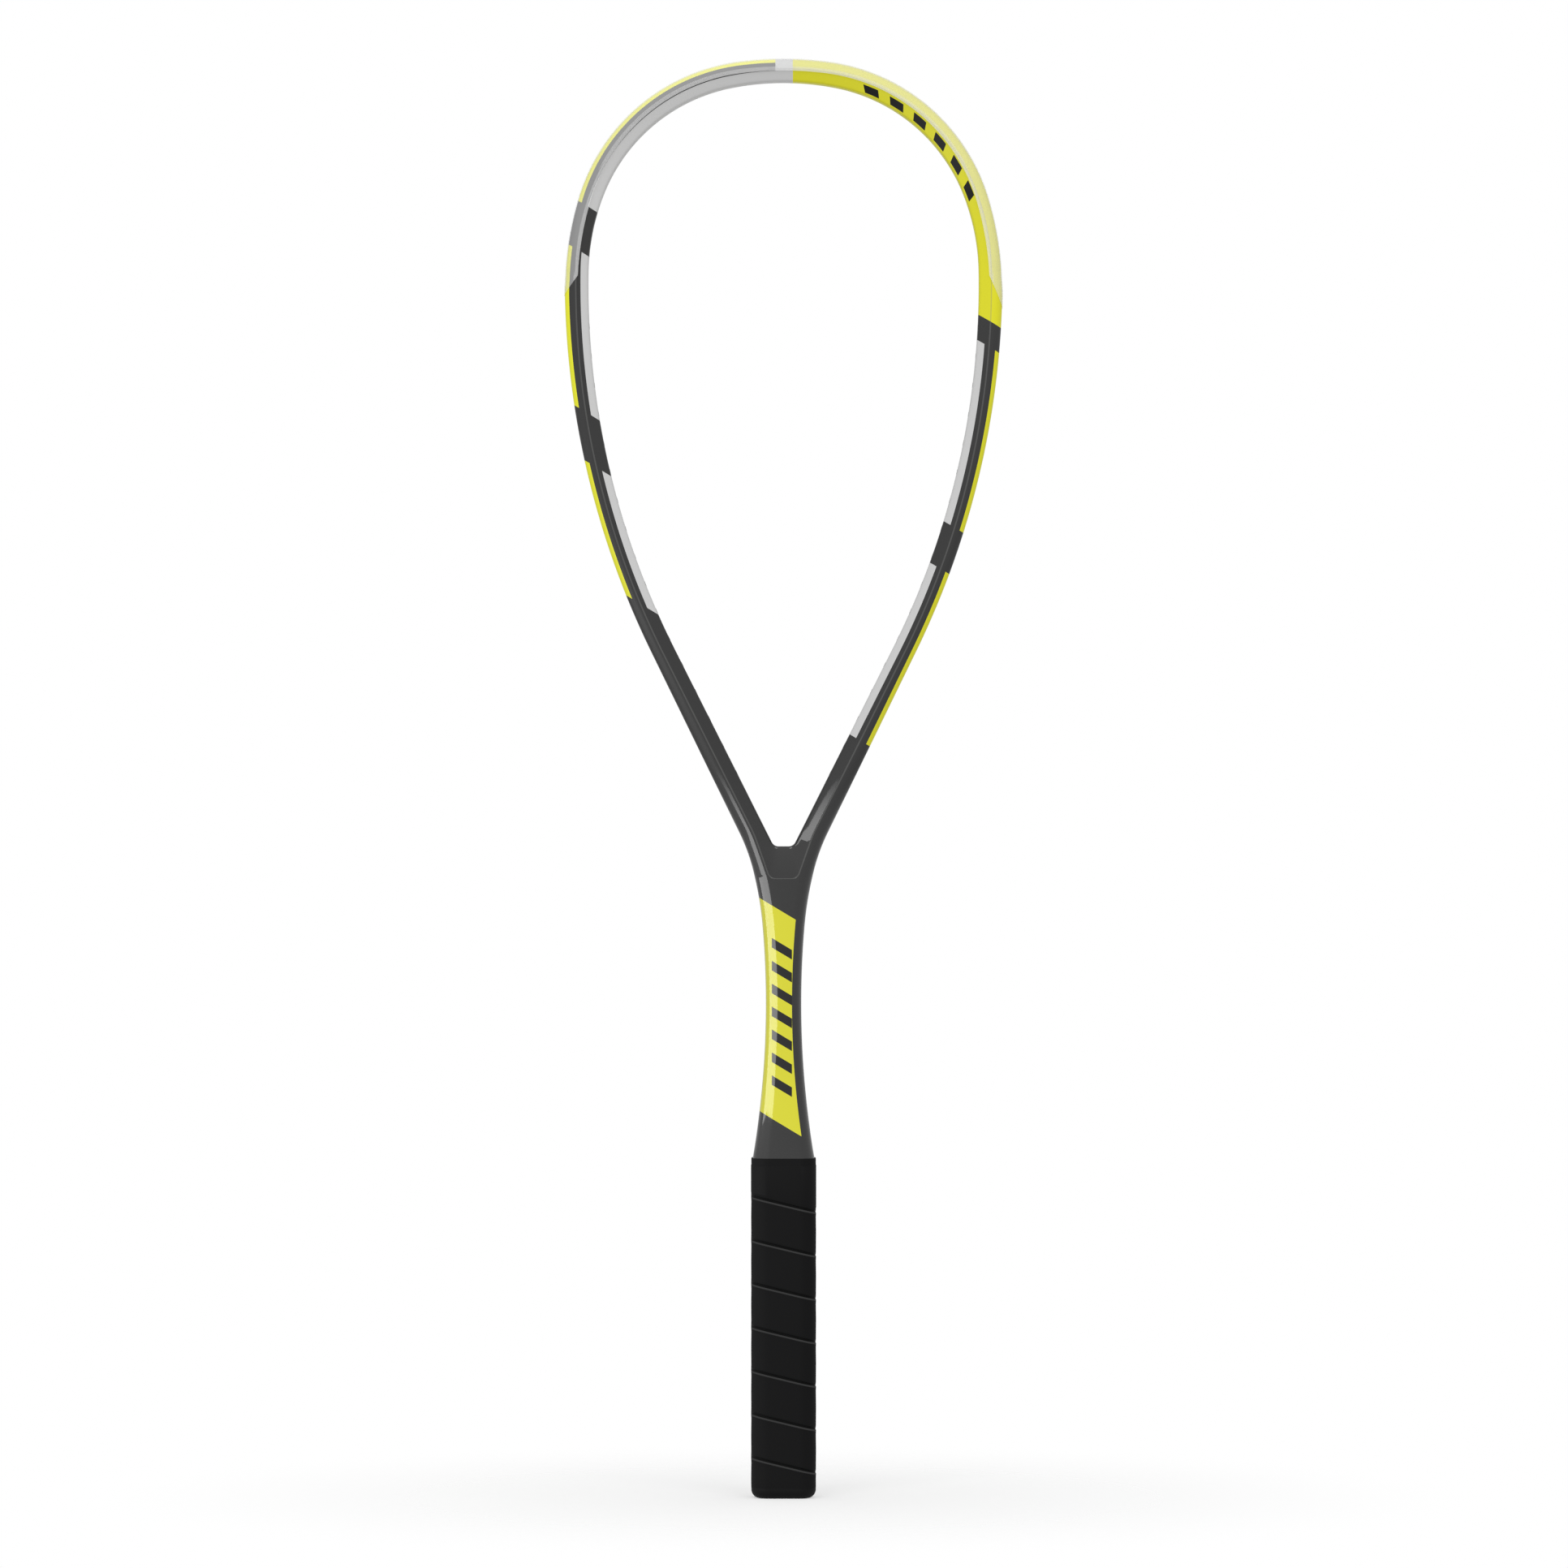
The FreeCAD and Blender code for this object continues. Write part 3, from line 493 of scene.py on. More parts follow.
# %% Frame surface
FAR_AWAY = 50.0
CORE_HALF_WIDTH, CORE_HALF_DEPTH, CORE_BOTTOM = 13.8, 11.1, 5.0
all_rows = np.arange(len(ridge_z))
hoop_rows = np.arange(HOOP_ROWS)
seat_rows = np.arange(HOOP_ROWS - 1, len(crest_z))
outer_patch, outer_t, outer_in = outer_section(all_rows)
inner_patch, inner_t, inner_in = inner_section(hoop_rows)
seat_patch = outer_patch[seat_rows][:, [0, -1]]
shoulder = outer_patch[-1] * [CORE_HALF_WIDTH / outer_patch[-1, :, 0].max(),
                              CORE_HALF_DEPTH / outer_patch[-1, :, 1].max(), 1]
core_patch = np.stack([outer_patch[-1], shoulder, shoulder - [0, 0, GRIP_TOP - CORE_BOTTOM]])
patches = [outer_patch, inner_patch, seat_patch, core_patch]
width_to_crest = np.hypot(lip_x - crest_x, lip_z - crest_z)
crest_to_lip = np.concatenate([width_to_crest, np.full(len(shaft_z), FAR_AWAY)])[:, None]
from_outer = [outer_in, reach[hoop_rows, None] + inner_t,
              reach[seat_rows, None] + np.zeros((len(seat_rows), 2)), np.zeros(core_patch.shape[:2])]
from_inner = [outer_t + crest_to_lip, inner_in, crest_to_lip[seat_rows] * np.ones((1, 2)),
              np.full(core_patch.shape[:2], FAR_AWAY)]
from_crest = [outer_t + np.where(crested[:, None], 0, FAR_AWAY), inner_t,
              np.zeros((len(seat_rows), 2)), np.full(core_patch.shape[:2], FAR_AWAY)]
along = [foot[:, None] + 0 * outer_t, foot[hoop_rows, None] + 0 * inner_t,
         foot[seat_rows, None] * np.ones((1, 2)), np.zeros(core_patch.shape[:2])]
measures = {"from_outer": from_outer, "from_inner": from_inner, "from_crest": from_crest,
            "along": along}
inner_start = outer_patch.shape[0] * outer_patch.shape[1]
joint_cap = inner_start + (HOOP_ROWS - 1) * inner_patch.shape[1] + np.arange(inner_patch.shape[1])
core_start = sum(p.shape[0] * p.shape[1] for p in patches[:3])
core_cap = core_start + 2 * core_patch.shape[1] + np.arange(core_patch.shape[1])
frame_piece = make_piece("racket_frame", patches, measures, [joint_cap, core_cap], mirror=True)
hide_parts("frame_tube")

# %% [markdown]
# ## The throat wedge
#
# A small moulding closes the V between the two legs. Its rim is the U-shaped line below the V.
# It is the bevelled inner part of the section again, carried round the rest of the crest to
# the middle, so its bevel flows on from the hoop's without a step.

# %% Wedge surface
wedge_patch, wedge_t, wedge_in = inner_section(seat_rows)
wedge_wall = wedge_patch[:, [0, -1]]
wedge_outer = reach[seat_rows, None]
wedge_measures = {
    "from_outer": [wedge_outer + wedge_t, wedge_outer * np.ones((1, 2))],
    "from_inner": [wedge_in, wedge_in[:, [0, -1]]],
    "from_crest": [wedge_t, wedge_t[:, [0, -1]]],
    "along": [foot[seat_rows, None] + 0 * wedge_t, foot[seat_rows, None] * np.ones((1, 2))]}
wedge_piece = make_piece("throat_wedge_face", [wedge_patch, wedge_wall], wedge_measures,
                         [np.arange(wedge_patch.shape[1])], mirror=True)
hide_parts("throat_wedge")

# %% [markdown]
# ## A small light for the throat
#
# The gloss in the throat runs down the right leg's bevel to the wedge. A flat bevel is a mirror,
# so instead of guessing, the light's place is worked out: the line from the viewer to the bevel
# is turned about the bevel's normal, and the light stands on it. A light that is only there for
# its reflection leaves the diffuse light alone.

# %% Throat light
LIGHT_DISTANCE = 200.0
STREAK_TOP, STREAK_END, STREAK_LIGHT_WIDTH = 343.0, 318.0, 26.0


def mirror_place(patch, row):
    """Where a light shows in a bevel: p + d (2 (n.v) n - v), where v points at the viewer."""
    head, foot_of_bevel = patch[row, 2], patch[row, 3]
    point = (head + foot_of_bevel) / 2
    normal = np.cross(foot_of_bevel - head, patch[row + 1, 2] - patch[row - 1, 2])
    normal = -normal * np.sign(normal[1]) / np.linalg.norm(normal)
    view = np.array(camera.location) / MM - point
    view = view / np.linalg.norm(view)
    return point, point + LIGHT_DISTANCE * (2 * (normal @ view) * normal - view)


_, leg_high = mirror_place(inner_patch, int(np.argmax(crest_z < STREAK_TOP)))
low_point, leg_low = mirror_place(inner_patch, int(np.argmax(crest_z < STREAK_END)))
leg_span = leg_high - leg_low
leg_size = (STREAK_LIGHT_WIDTH, 2 * np.linalg.norm(leg_span))
area_light("leg_gloss", leg_low, low_point, leg_size, power=0.021, shape="ELLIPSE", up=leg_span,
           gloss_only=True)

# %% [markdown]
# ## The bumper guard and its string tubes
#
# A translucent guard takes the knocks at the crown. It is a thin shell over the outer edge,
# with a lip on each face, and its ends are cut slanting, lower at the side than on the face.
# The shell is one loop of points, out over the skin and back along the frame, carried round
# the outline. The tubes that the strings go through are rings turned about each hole's axis.

# %% Guard shell
GUARD_BAND, GUARD_LIP = 6.2, 0.6
GUARD_FACE_END = 582.6
GUARD_SIDE_END = {"right": 567.0, "left": 573.0}
GUARD_ROWS = 130
GUARD_PROUD = 0.3
GUARD_CLEAR = 0.03
GUARD_SOFT = 0.15


def guard_loop():
    """Inset from the outline and depth of the loop: over the outer skin, back along the inner."""
    a = np.linspace(0, np.pi / 2, 10)
    r = BEAM_EDGE + GUARD_LIP
    skin_in = np.concatenate([[GUARD_BAND, GUARD_BAND - GUARD_SOFT, GUARD_BAND - 0.5],
                              r * (1 - np.sin(a))])
    top = -BEAM_HALF_DEPTH - GUARD_LIP
    skin_y = np.concatenate([[-BEAM_HALF_DEPTH - GUARD_CLEAR, top + GUARD_SOFT, top],
                             top + r * (1 - np.cos(a))])
    under_in = GUARD_RECESS - GUARD_CLEAR + BEAM_EDGE * (1 - np.sin(a[::-1]))
    under_y = -BEAM_HALF_DEPTH - GUARD_CLEAR + BEAM_EDGE * (1 - np.cos(a[::-1]))
    inset = np.concatenate([skin_in, skin_in[::-1], under_in[::-1], under_in, [GUARD_BAND]])
    y = np.concatenate([skin_y, -skin_y[::-1], -under_y[::-1], under_y, [skin_y[0]]])
    inner_skin = np.arange(len(inset)) >= 2 * len(skin_in)
    inner_skin[-1] = False
    return inset, y, inner_skin


def guard_half(side):
    """The loop carried down one side; each column ends at its own height on the slanted cut."""
    inset, y, inner_skin = guard_loop()
    share = np.clip(inset / GUARD_BAND, 0, 1)
    end_z = GUARD_SIDE_END[side] + (GUARD_FACE_END - GUARD_SIDE_END[side]) * share
    end = outer.distance_at_height(end_z)
    distance = np.linspace(0, 1, GUARD_ROWS)[:, None] * end[None, :]
    x, z, heading = outer.at(distance)
    thin = 1 - sunk(z)
    shift = np.where(inner_skin, -GUARD_RECESS * thin, -GUARD_PROUD * thin) * (1 - share)
    depth_in = inset + shift
    sign = 1 if side == "right" else -1
    px = (x + np.sin(heading) * depth_in) * sign
    pz = z - np.cos(heading) * depth_in
    return np.stack([px, y + 0 * pz, pz], axis=-1)


halves = [guard_half("right"), guard_half("left")]
columns = halves[0].shape[1]
end_caps = [half * GUARD_ROWS * columns + (GUARD_ROWS - 1) * columns + np.arange(columns - 1)
            for half in (0, 1)]
guard = make_piece("bumper_guard", halves, caps=end_caps)
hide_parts("head_bumper")

# %% String tubes in the head
FIRST_HOLE, HEAD_PITCH, HEAD_HOLES = 7.0, 13.2, 12
TUBE_RADIUS, BORE_RADIUS, TUBE_REACH = 1.4, 0.85, 0.08
TUBE_SOFT, BORE_SOFT = 0.15, 0.1
HEAD_TUBE_START, SIDE_TUBE_START = 0.6, 0.08
ROUND_SHARP = np.radians(40)


def turned_tube(x, z, heading, start, end):
    """A ring profile turned about the inward normal: centre + normal d + r (cos a, sin a)."""
    soft = end - TUBE_SOFT
    d = np.array([start, soft, end, end, soft, start, start])[:, None]
    r = np.array([TUBE_RADIUS, TUBE_RADIUS, TUBE_RADIUS - TUBE_SOFT, BORE_RADIUS + BORE_SOFT,
                  BORE_RADIUS, BORE_RADIUS, TUBE_RADIUS])[:, None]
    a = np.linspace(0, 2 * np.pi, 25)[None, :]
    nx, nz = np.sin(heading), -np.cos(heading)
    return np.stack([x + nx * d + nz * r * np.cos(a), r * np.sin(a) + 0 * d,
                     z + nz * d - nx * r * np.cos(a)], axis=-1)


def tubes_at(distances, start):
    """A tube at each distance along the outline, long enough to come just through the beam."""
    hole_x, hole_z, hole_heading = outer.at(distances)
    inner_at = inner.at(nearest_on(inner, hole_x, hole_z))
    beam = np.hypot(inner_at[0] - hole_x, inner_at[1] - hole_z)
    return [turned_tube(x, z, h, start, w + TUBE_REACH)
            for x, z, h, w in zip(hole_x, hole_z, hole_heading, beam)]


head_tubes = tubes_at(FIRST_HOLE + HEAD_PITCH * np.arange(HEAD_HOLES), HEAD_TUBE_START)
string_tubes = make_piece("head_string_tubes", head_tubes, mirror=True, sharp=ROUND_SHARP)

# %% [markdown]
# ## The grommet strips
#
# Down each side a black nylon strip lies in a groove, and carries the rest of the string tubes.
# Its band is one rectangle of points carried along the outline, a little below flush, and the
# tubes are the same turned rings as in the head, with a small raised rim on the outside.

# %% Strips
SIDE_FIRST_HOLE, SIDE_PITCH, SIDE_HOLES = 190.0, 14.4, 17
BAND_HALF, BAND_SUNK, BAND_FLOOR = 3.1, 0.25, 0.97
BAND_SOFT = 0.25
BAND_GAP, BAND_ROWS = 0.2, 170
strip_ends = outer.distance_at_height([STRIP_TOP - BAND_GAP, STRIP_BOTTOM + BAND_GAP])


def strip_band(side):
    """Point = outline + inward normal * inset, over a rectangle with two softened edges."""
    inset = np.array([BAND_FLOOR, BAND_SUNK + BAND_SOFT, BAND_SUNK, BAND_SUNK,
                      BAND_SUNK + BAND_SOFT, BAND_FLOOR, BAND_FLOOR])
    y = np.array([-BAND_HALF, -BAND_HALF, -BAND_HALF + BAND_SOFT, BAND_HALF - BAND_SOFT,
                  BAND_HALF, BAND_HALF, -BAND_HALF])
    x, z, heading = (a[:, None] for a in outer.at(np.linspace(*strip_ends, BAND_ROWS)))
    across = (x + np.sin(heading) * inset) * side
    return np.stack([across, y + 0 * across, z - np.cos(heading) * inset], -1)


strips = {}
side_tubes = tubes_at(SIDE_FIRST_HOLE + SIDE_PITCH * np.arange(SIDE_HOLES), SIDE_TUBE_START)
for side, word in ((1, "right"), (-1, "left")):
    band = strip_band(side)
    corners = np.arange(band.shape[1] - 1)
    ends = [corners, (band.shape[0] - 1) * band.shape[1] + corners]
    strips[word] = make_piece(f"grommet_band_{word}", [band] + [t * [side, 1, 1] for t in side_tubes],
                              caps=ends, sharp=ROUND_SHARP)
    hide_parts(f"grommet_strip_{word}")

# %% [markdown]
# ## The grip and its tape
#
# A cushioned strip is wound down the handle, each turn lapping the one above it. The laps show
# as slanting grooves with a soft raised lip below. A plain tube with drawn lines would look
# painted, so the surface itself is wound: columns go once round the rounded handle, and each
# row drops by one strip width in a turn, so a row's end meets the row one turn below. How deep
# a point sits depends only on how far it is below the lap. The grip's finish adds painted shade
# in the grooves and a painted highlight on the lip.

# %% Outline of the handle, fall and relief of a lap
GRIP_HALF_WIDTH, GRIP_HALF_DEPTH, GRIP_CORNER = 15.4, 12.7, 8.0
GRIP_WALL = 1.6
WRAP_TOP, WRAP_BOTTOM = 158.5, 5.0
PITCH, FIRST_LAP = 20.69, 145.5
FRONT_SLOPE = 0.24
RELIEF_AT = (0, 0.3, 0.7, 1.2, 2.0, 3.2, PITCH / 2, PITCH - 1.1, PITCH - 0.45, PITCH)
RELIEF_HEIGHT = (-0.6, -0.55, -0.12, 0.1, 0.06, 0.0, 0.1, 0.03, -0.12, -0.6)


def handle_loop(offset=0.0, corner_points=9):
    """Once round the handle from the middle of its left side by the front: x, y and normal."""
    a = np.linspace(0, np.pi / 2, corner_points)
    cx, cy = GRIP_HALF_WIDTH - GRIP_CORNER, GRIP_HALF_DEPTH - GRIP_CORNER
    turns = np.concatenate([np.pi + a, 1.5 * np.pi + a, a, 0.5 * np.pi + a])
    sx = np.repeat([-1, 1, 1, -1], corner_points) * cx
    sy = np.repeat([-1, -1, 1, 1], corner_points) * cy
    nx, ny = np.cos(turns), np.sin(turns)
    close = [np.concatenate([[first], array, [first]]) for array, first in
             ((sx, -cx), (sy, 0.0), (nx, -1.0), (ny, 0.0))]
    sx, sy, nx, ny = close
    r = GRIP_CORNER + offset
    return sx, sy, nx, ny, sx + nx * r, sy + ny * r


def lap_drop(x, y):
    """How far a lap has dropped: evenly across the front, down the side, faster across the back."""
    straight = GRIP_HALF_DEPTH - GRIP_CORNER
    back_slope = PITCH - FRONT_SLOPE * (2 * GRIP_HALF_WIDTH + 4 * straight)
    back_slope = back_slope / (2 * GRIP_HALF_WIDTH)
    left_front = FRONT_SLOPE * np.clip(-y, 0, straight)
    front = left_front + FRONT_SLOPE * (x + GRIP_HALF_WIDTH)
    side = FRONT_SLOPE * (2 * GRIP_HALF_WIDTH + straight + np.clip(y, -straight, straight))
    back = FRONT_SLOPE * (2 * GRIP_HALF_WIDTH + 3 * straight) + back_slope * (GRIP_HALF_WIDTH - x)
    last = PITCH - FRONT_SLOPE * np.clip(y, 0, straight)
    count = np.arange(len(x))
    quarter = (len(x) - 2) // 4
    drop = np.where(count <= 2 * quarter, front, back)
    drop = np.where((np.abs(y) <= straight) & (x > 0), side, drop)
    drop[-1] = PITCH
    return np.minimum(drop, np.where(count > 3 * quarter, last, PITCH))


def lap_relief(below):
    """Height of the strip's surface over the plain grip, by distance below the lap."""
    return np.interp(below, RELIEF_AT, RELIEF_HEIGHT)


# %% Wound surface
def wound_surface(row_heights):
    """Rows wound round the handle: height = row - drop, out by the relief at that place.

    Also gives how far each point is below the lap above it.
    """
    sx, sy, nx, ny, x, y = handle_loop()
    drop = lap_drop(x, y)[None, :]
    z = np.clip(row_heights[:, None] - drop, WRAP_BOTTOM, WRAP_TOP)
    below_lap = np.mod(FIRST_LAP - z - drop, PITCH)
    relief = lap_relief(below_lap) * np.clip(z - WRAP_BOTTOM, 0, 1)
    return np.stack([x + nx * relief, y + ny * relief, z], axis=-1), below_lap


steps_below = np.array([0, 0.12, 0.3, 0.5, 0.7, 0.95, 1.2, 1.6, 2.0, 2.6, 3.2, 5, 7, 9, 11, 13, 15,
                        17, 18.4, 19.2, 19.6, 19.95, 20.25, 20.5])
TURNS = 11
turn_starts = FIRST_LAP + 2 * PITCH - PITCH * np.arange(TURNS)
wound, below_lap = wound_surface(np.concatenate([start - steps_below for start in turn_starts]))
core_x, core_y = handle_loop(-GRIP_WALL)[4:]
core_rows = np.stack([np.stack([core_x, core_y, core_x * 0 + h], -1)
                      for h in (WRAP_BOTTOM, WRAP_TOP)])
wrap_grid = np.concatenate([wound, core_rows, wound[:1]])
inside = np.full((3, wound.shape[1]), PITCH / 2)
wrap_measures = {"below_lap": [np.concatenate([below_lap, inside])]}
wrap_piece = make_piece("grip_strip", [wrap_grid], wrap_measures, sharp=np.radians(50))
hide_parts("grip_wrap")

# %% Finishing tape
TAPE_PROUD, TAPE_UNDER = 0.16, -0.5
TAPE_SECTION = ((0, TAPE_UNDER), (0, TAPE_PROUD - 0.1), (0.01, TAPE_PROUD), (0.985, TAPE_PROUD),
                (1, TAPE_PROUD - 0.12), (1, TAPE_UNDER), (0, TAPE_UNDER))


def tape_ring():
    """A band round the wrap's top; its lower edge is a plane that slants down to the right."""
    rows = []
    for share, offset in TAPE_SECTION:
        x, y = handle_loop(offset)[4:]
        low = FIRST_LAP + 0.2 - FRONT_SLOPE * (x + GRIP_HALF_WIDTH)
        rows.append(np.stack([x, y, WRAP_TOP + (low - WRAP_TOP) * share], -1))
    return np.stack(rows)


tape_piece = make_piece("end_tape", [tape_ring()])
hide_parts("finishing_tape")

# %% [markdown]
# ## Node groups that the finishes share
#
# Several finishes need the same small recipes: whether a number lies between two others, the
# height of a slanting masking-tape cut, and a fine uneven grain. Each is a node group with
# plain inputs and outputs, made once. The groups put out masks and values only, and the
# shaders stay in the materials.


# %% Group making
def new_group(name, inputs, outputs):
    """An empty node group with float sockets; inputs maps names to their first values."""
    group = bpy.data.node_groups.new(name, "ShaderNodeTree")
    for key, value in inputs.items():
        made = group.interface.new_socket(key, in_out="INPUT", socket_type="NodeSocketFloat")
        made.default_value = value
    for key in outputs:
        group.interface.new_socket(key, in_out="OUTPUT", socket_type="NodeSocketFloat")
    return group, group.nodes.new("NodeGroupInput"), group.nodes.new("NodeGroupOutput")


def calc(tree, operation, *terms):
    """A maths node on sockets or numbers; gives its output socket."""
    made = node(tree, "ShaderNodeMath", operation=operation)
    for index, term in enumerate(terms):
        if isinstance(term, (int, float)):
            made.inputs[index].default_value = term
        else:
            tree.links.new(term, made.inputs[index])
    return made.outputs[0]


# %% Group: between two numbers
between_group, given, result = new_group("between", {"Value": 0, "Low": 0, "High": 1}, ["Mask"])
above = calc(between_group, "GREATER_THAN", given.outputs["Value"], given.outputs["Low"])
below = calc(between_group, "LESS_THAN", given.outputs["Value"], given.outputs["High"])
between_group.links.new(calc(between_group, "MULTIPLY", above, below), result.inputs["Mask"])
print(f"group {between_group.name}: {len(between_group.nodes)} nodes")

# %% Group: place on the racket in millimetres, and the slanting cut
CUT_SLOPE = 0.6
place_group, given, result = new_group("racket_place", {"Slope": CUT_SLOPE}, ["X", "Y", "Z", "Cut"])
where = node(place_group, "ShaderNodeTexCoord")
parts = node(place_group, "ShaderNodeSeparateXYZ")
place_group.links.new(where.outputs["Object"], parts.inputs[0])
axes = [calc(place_group, "MULTIPLY", parts.outputs[i], 1 / MM) for i in range(3)]
for axis, socket in zip("XYZ", axes):
    place_group.links.new(socket, result.inputs[axis])
slanted = calc(place_group, "MULTIPLY", axes[0], given.outputs["Slope"])
place_group.links.new(calc(place_group, "ADD", slanted, axes[2]), result.inputs["Cut"])
print(f"group {place_group.name}: {len(place_group.nodes)} nodes")

# %% Group: fine grain
grain_group, given, result = new_group("fine_grain", {"Scale": 900, "Detail": 3}, ["Height"])
where = node(grain_group, "ShaderNodeTexCoord")
fine = node(grain_group, "ShaderNodeTexNoise")
grain_group.links.new(where.outputs["Object"], fine.inputs["Vector"])
grain_group.links.new(given.outputs["Scale"], fine.inputs["Scale"])
grain_group.links.new(given.outputs["Detail"], fine.inputs["Detail"])
grain_group.links.new(fine.outputs[0], result.inputs["Height"])
print(f"group {grain_group.name}: {len(grain_group.nodes)} nodes")


# %% Making a finish
def place(tree, group, **values):
    """A node group in a tree, with its unlinked inputs set."""
    made = node(tree, "ShaderNodeGroup", node_tree=group)
    return set_inputs(made, **values)


def new_finish(name, **values):
    """A material with a Principled shader whose plain values are set."""
    made = bpy.data.materials.new(name)
    made.use_nodes = True
    shader = made.node_tree.nodes["Principled BSDF"]
    set_inputs(shader, **values)
    return made, made.node_tree, shader


def grain_bump(tree, shader, scale, strength, depth, detail=3):
    """Fine bumps on a finish, from the grain group; scale is per metre, depth in millimetres."""
    grain = place(tree, grain_group, Scale=scale, Detail=detail)
    bump = set_inputs(node(tree, "ShaderNodeBump"), Strength=strength, Distance=depth * MM)
    tree.links.new(grain.outputs["Height"], bump.inputs["Height"])
    tree.links.new(bump.outputs["Normal"], shader.inputs["Normal"])


def grained(name, scale, strength, depth, **values):
    """A whole finish of one colour with fine bumps."""
    made, tree, shader = new_finish(name, **values)
    grain_bump(tree, shader, scale, strength, depth)
    print(f"finish {name}: {len(tree.nodes)} nodes")
    return made


# %% [markdown]
# ## The paint
#
# The frame is dark lacquer with yellow and pale grey stripes, masked off with tape, so every
# edge is crisp and every end is cut at the same slant. The stripes run at fixed distances from
# the edges of the frame. They can't be drawn on a flat plan, because they wrap round the side,
# so the masks use the distances that were kept at each point, and the slanting cut is one
# plane through the whole racket. Where a real racket has its maker's lettering, there are
# plain slanting bars. The varnish shines on the shaft and fades to matt above the throat, and
# there the dark paint is mixed a little lighter, a painted sheen in place of the reflection
# that the varnish gives the shaft, so that the two look the same.

# %% Paint colours and places
YELLOW, STRIPE_YELLOW = (0.73, 0.705, 0.025), (0.86, 0.85, 0.034)
PALE_GREY, DARK = (0.60, 0.60, 0.60), (0.024, 0.024, 0.024)
INK = (0.004, 0.004, 0.004)
DARK_WITH_PAINTED_SHEEN = (0.042, 0.042, 0.042)
RIGHT_CUTS = ((511.2, 607.1), (382.8, 487.5))
LEFT_CUTS = ((460.8, 535.8), (385.1, 437.5))
PATCH_LEFT, PATCH_RIGHT = -3.9, 4.4
HOOP_LOW = 320.0
YELLOW_HEAD_CUT, LEFT_BAND_CUT = 619.5, 559.3
PANEL_CUTS = (177.6, 279.05)
PANEL_MARGIN = 4.5
OUTER_STRIPE, INNER_STRIPE, INNER_BAND = 2.1, 3.55, 4.9


# %% Masks and layers
def measure(tree, name):
    """A number kept at the points of the surface."""
    return node(tree, "ShaderNodeAttribute", attribute_name=name).outputs["Fac"]


def between(tree, value, low, high):
    """1 where a value lies between two numbers."""
    made = place(tree, between_group, Low=low, High=high)
    tree.links.new(value, made.inputs["Value"])
    return made.outputs["Mask"]


def any_of(tree, masks):
    """1 where at least one mask is 1."""
    total = masks[0]
    for mask in masks[1:]:
        total = calc(tree, "MAXIMUM", total, mask)
    return total


def both(tree, *masks):
    """1 where every mask is 1."""
    total = masks[0]
    for mask in masks[1:]:
        total = calc(tree, "MULTIPLY", total, mask)
    return total


def paint_over(tree, base, color, mask):
    """A colour laid over another where the mask is 1."""
    mix = node(tree, "ShaderNodeMix", data_type="RGBA")
    tree.links.new(mask, mix.inputs["Factor"])
    if isinstance(base, tuple):
        mix.inputs["A"].default_value = (*base, 1)
    else:
        tree.links.new(base, mix.inputs["A"])
    if isinstance(color, tuple):
        mix.inputs["B"].default_value = (*color, 1)
    else:
        tree.links.new(color, mix.inputs["B"])
    return mix.outputs["Result"]


# %% Frame paint
paint, tree, shader = new_finish("racket_lacquer", Roughness=0.42, Coat_Roughness=0.05,
                                 Specular_IOR_Level=0.15)
spot = place(tree, place_group)
x, z, cut = spot.outputs["X"], spot.outputs["Z"], spot.outputs["Cut"]
from_out, from_in = measure(tree, "from_outer"), measure(tree, "from_inner")
crest_gap, distance = measure(tree, "from_crest"), measure(tree, "along")
right_side = calc(tree, "GREATER_THAN", x, PATCH_RIGHT)
left_side = calc(tree, "LESS_THAN", x, PATCH_LEFT)
hoop = calc(tree, "GREATER_THAN", z, HOOP_LOW)
right_spans = any_of(tree, [between(tree, cut, *span) for span in RIGHT_CUTS])
left_spans = any_of(tree, [between(tree, cut, *span) for span in LEFT_CUTS])
right_stripes = both(tree, right_side, hoop, right_spans)
left_stripes = both(tree, left_side, hoop, left_spans)
outer_line = calc(tree, "LESS_THAN", from_out, OUTER_STRIPE)
inner_line = calc(tree, "LESS_THAN", from_in, INNER_STRIPE)
left_top = both(tree, left_side, calc(tree, "GREATER_THAN", cut, LEFT_BAND_CUT))
crown_patch = both(tree, hoop, between(tree, x, PATCH_LEFT, PATCH_RIGHT))
grey_mask = any_of(tree, [
    crown_patch, both(tree, right_stripes, inner_line), both(tree, left_stripes, inner_line),
    both(tree, left_top, calc(tree, "LESS_THAN", from_in, INNER_BAND))])
right_head = both(tree, right_side, calc(tree, "GREATER_THAN", cut, YELLOW_HEAD_CUT))
in_margin = calc(tree, "GREATER_THAN", from_out, PANEL_MARGIN)
panel_side = calc(tree, "MAXIMUM", in_margin, calc(tree, "LESS_THAN", x, 0.0))
panel = both(tree, between(tree, cut, *PANEL_CUTS), calc(tree, "LESS_THAN", z, HOOP_LOW), panel_side)
yellow_mask = any_of(tree, [right_head, panel, both(tree, right_stripes, outer_line)])
bright_mask = any_of(tree, [both(tree, left_stripes, outer_line), both(tree, left_top, outer_line)])
print(f"stripe masks: {len(tree.nodes)} nodes")

# %% Bars in place of lettering
HEAD_BARS = (44.0, 127.3)
HEAD_BAR_PITCH, HEAD_BAR_DUTY = 15.0, 0.55
HEAD_BAR_LEAN, HEAD_BAR_BAND = 0.7, (1.0, 4.3)
SHAFT_BARS = (193.6, 269.8)
SHAFT_BAR_PITCH, SHAFT_BAR_DUTY = 10.9, 0.42
SHAFT_BAR_SIDES = (-5.6, 4.0)


def bars(tree, value, start, pitch, duty):
    """1 in the first part of every pitch along a value."""
    turns = calc(tree, "DIVIDE", calc(tree, "SUBTRACT", value, start), pitch)
    return calc(tree, "LESS_THAN", calc(tree, "FRACT", turns), duty)


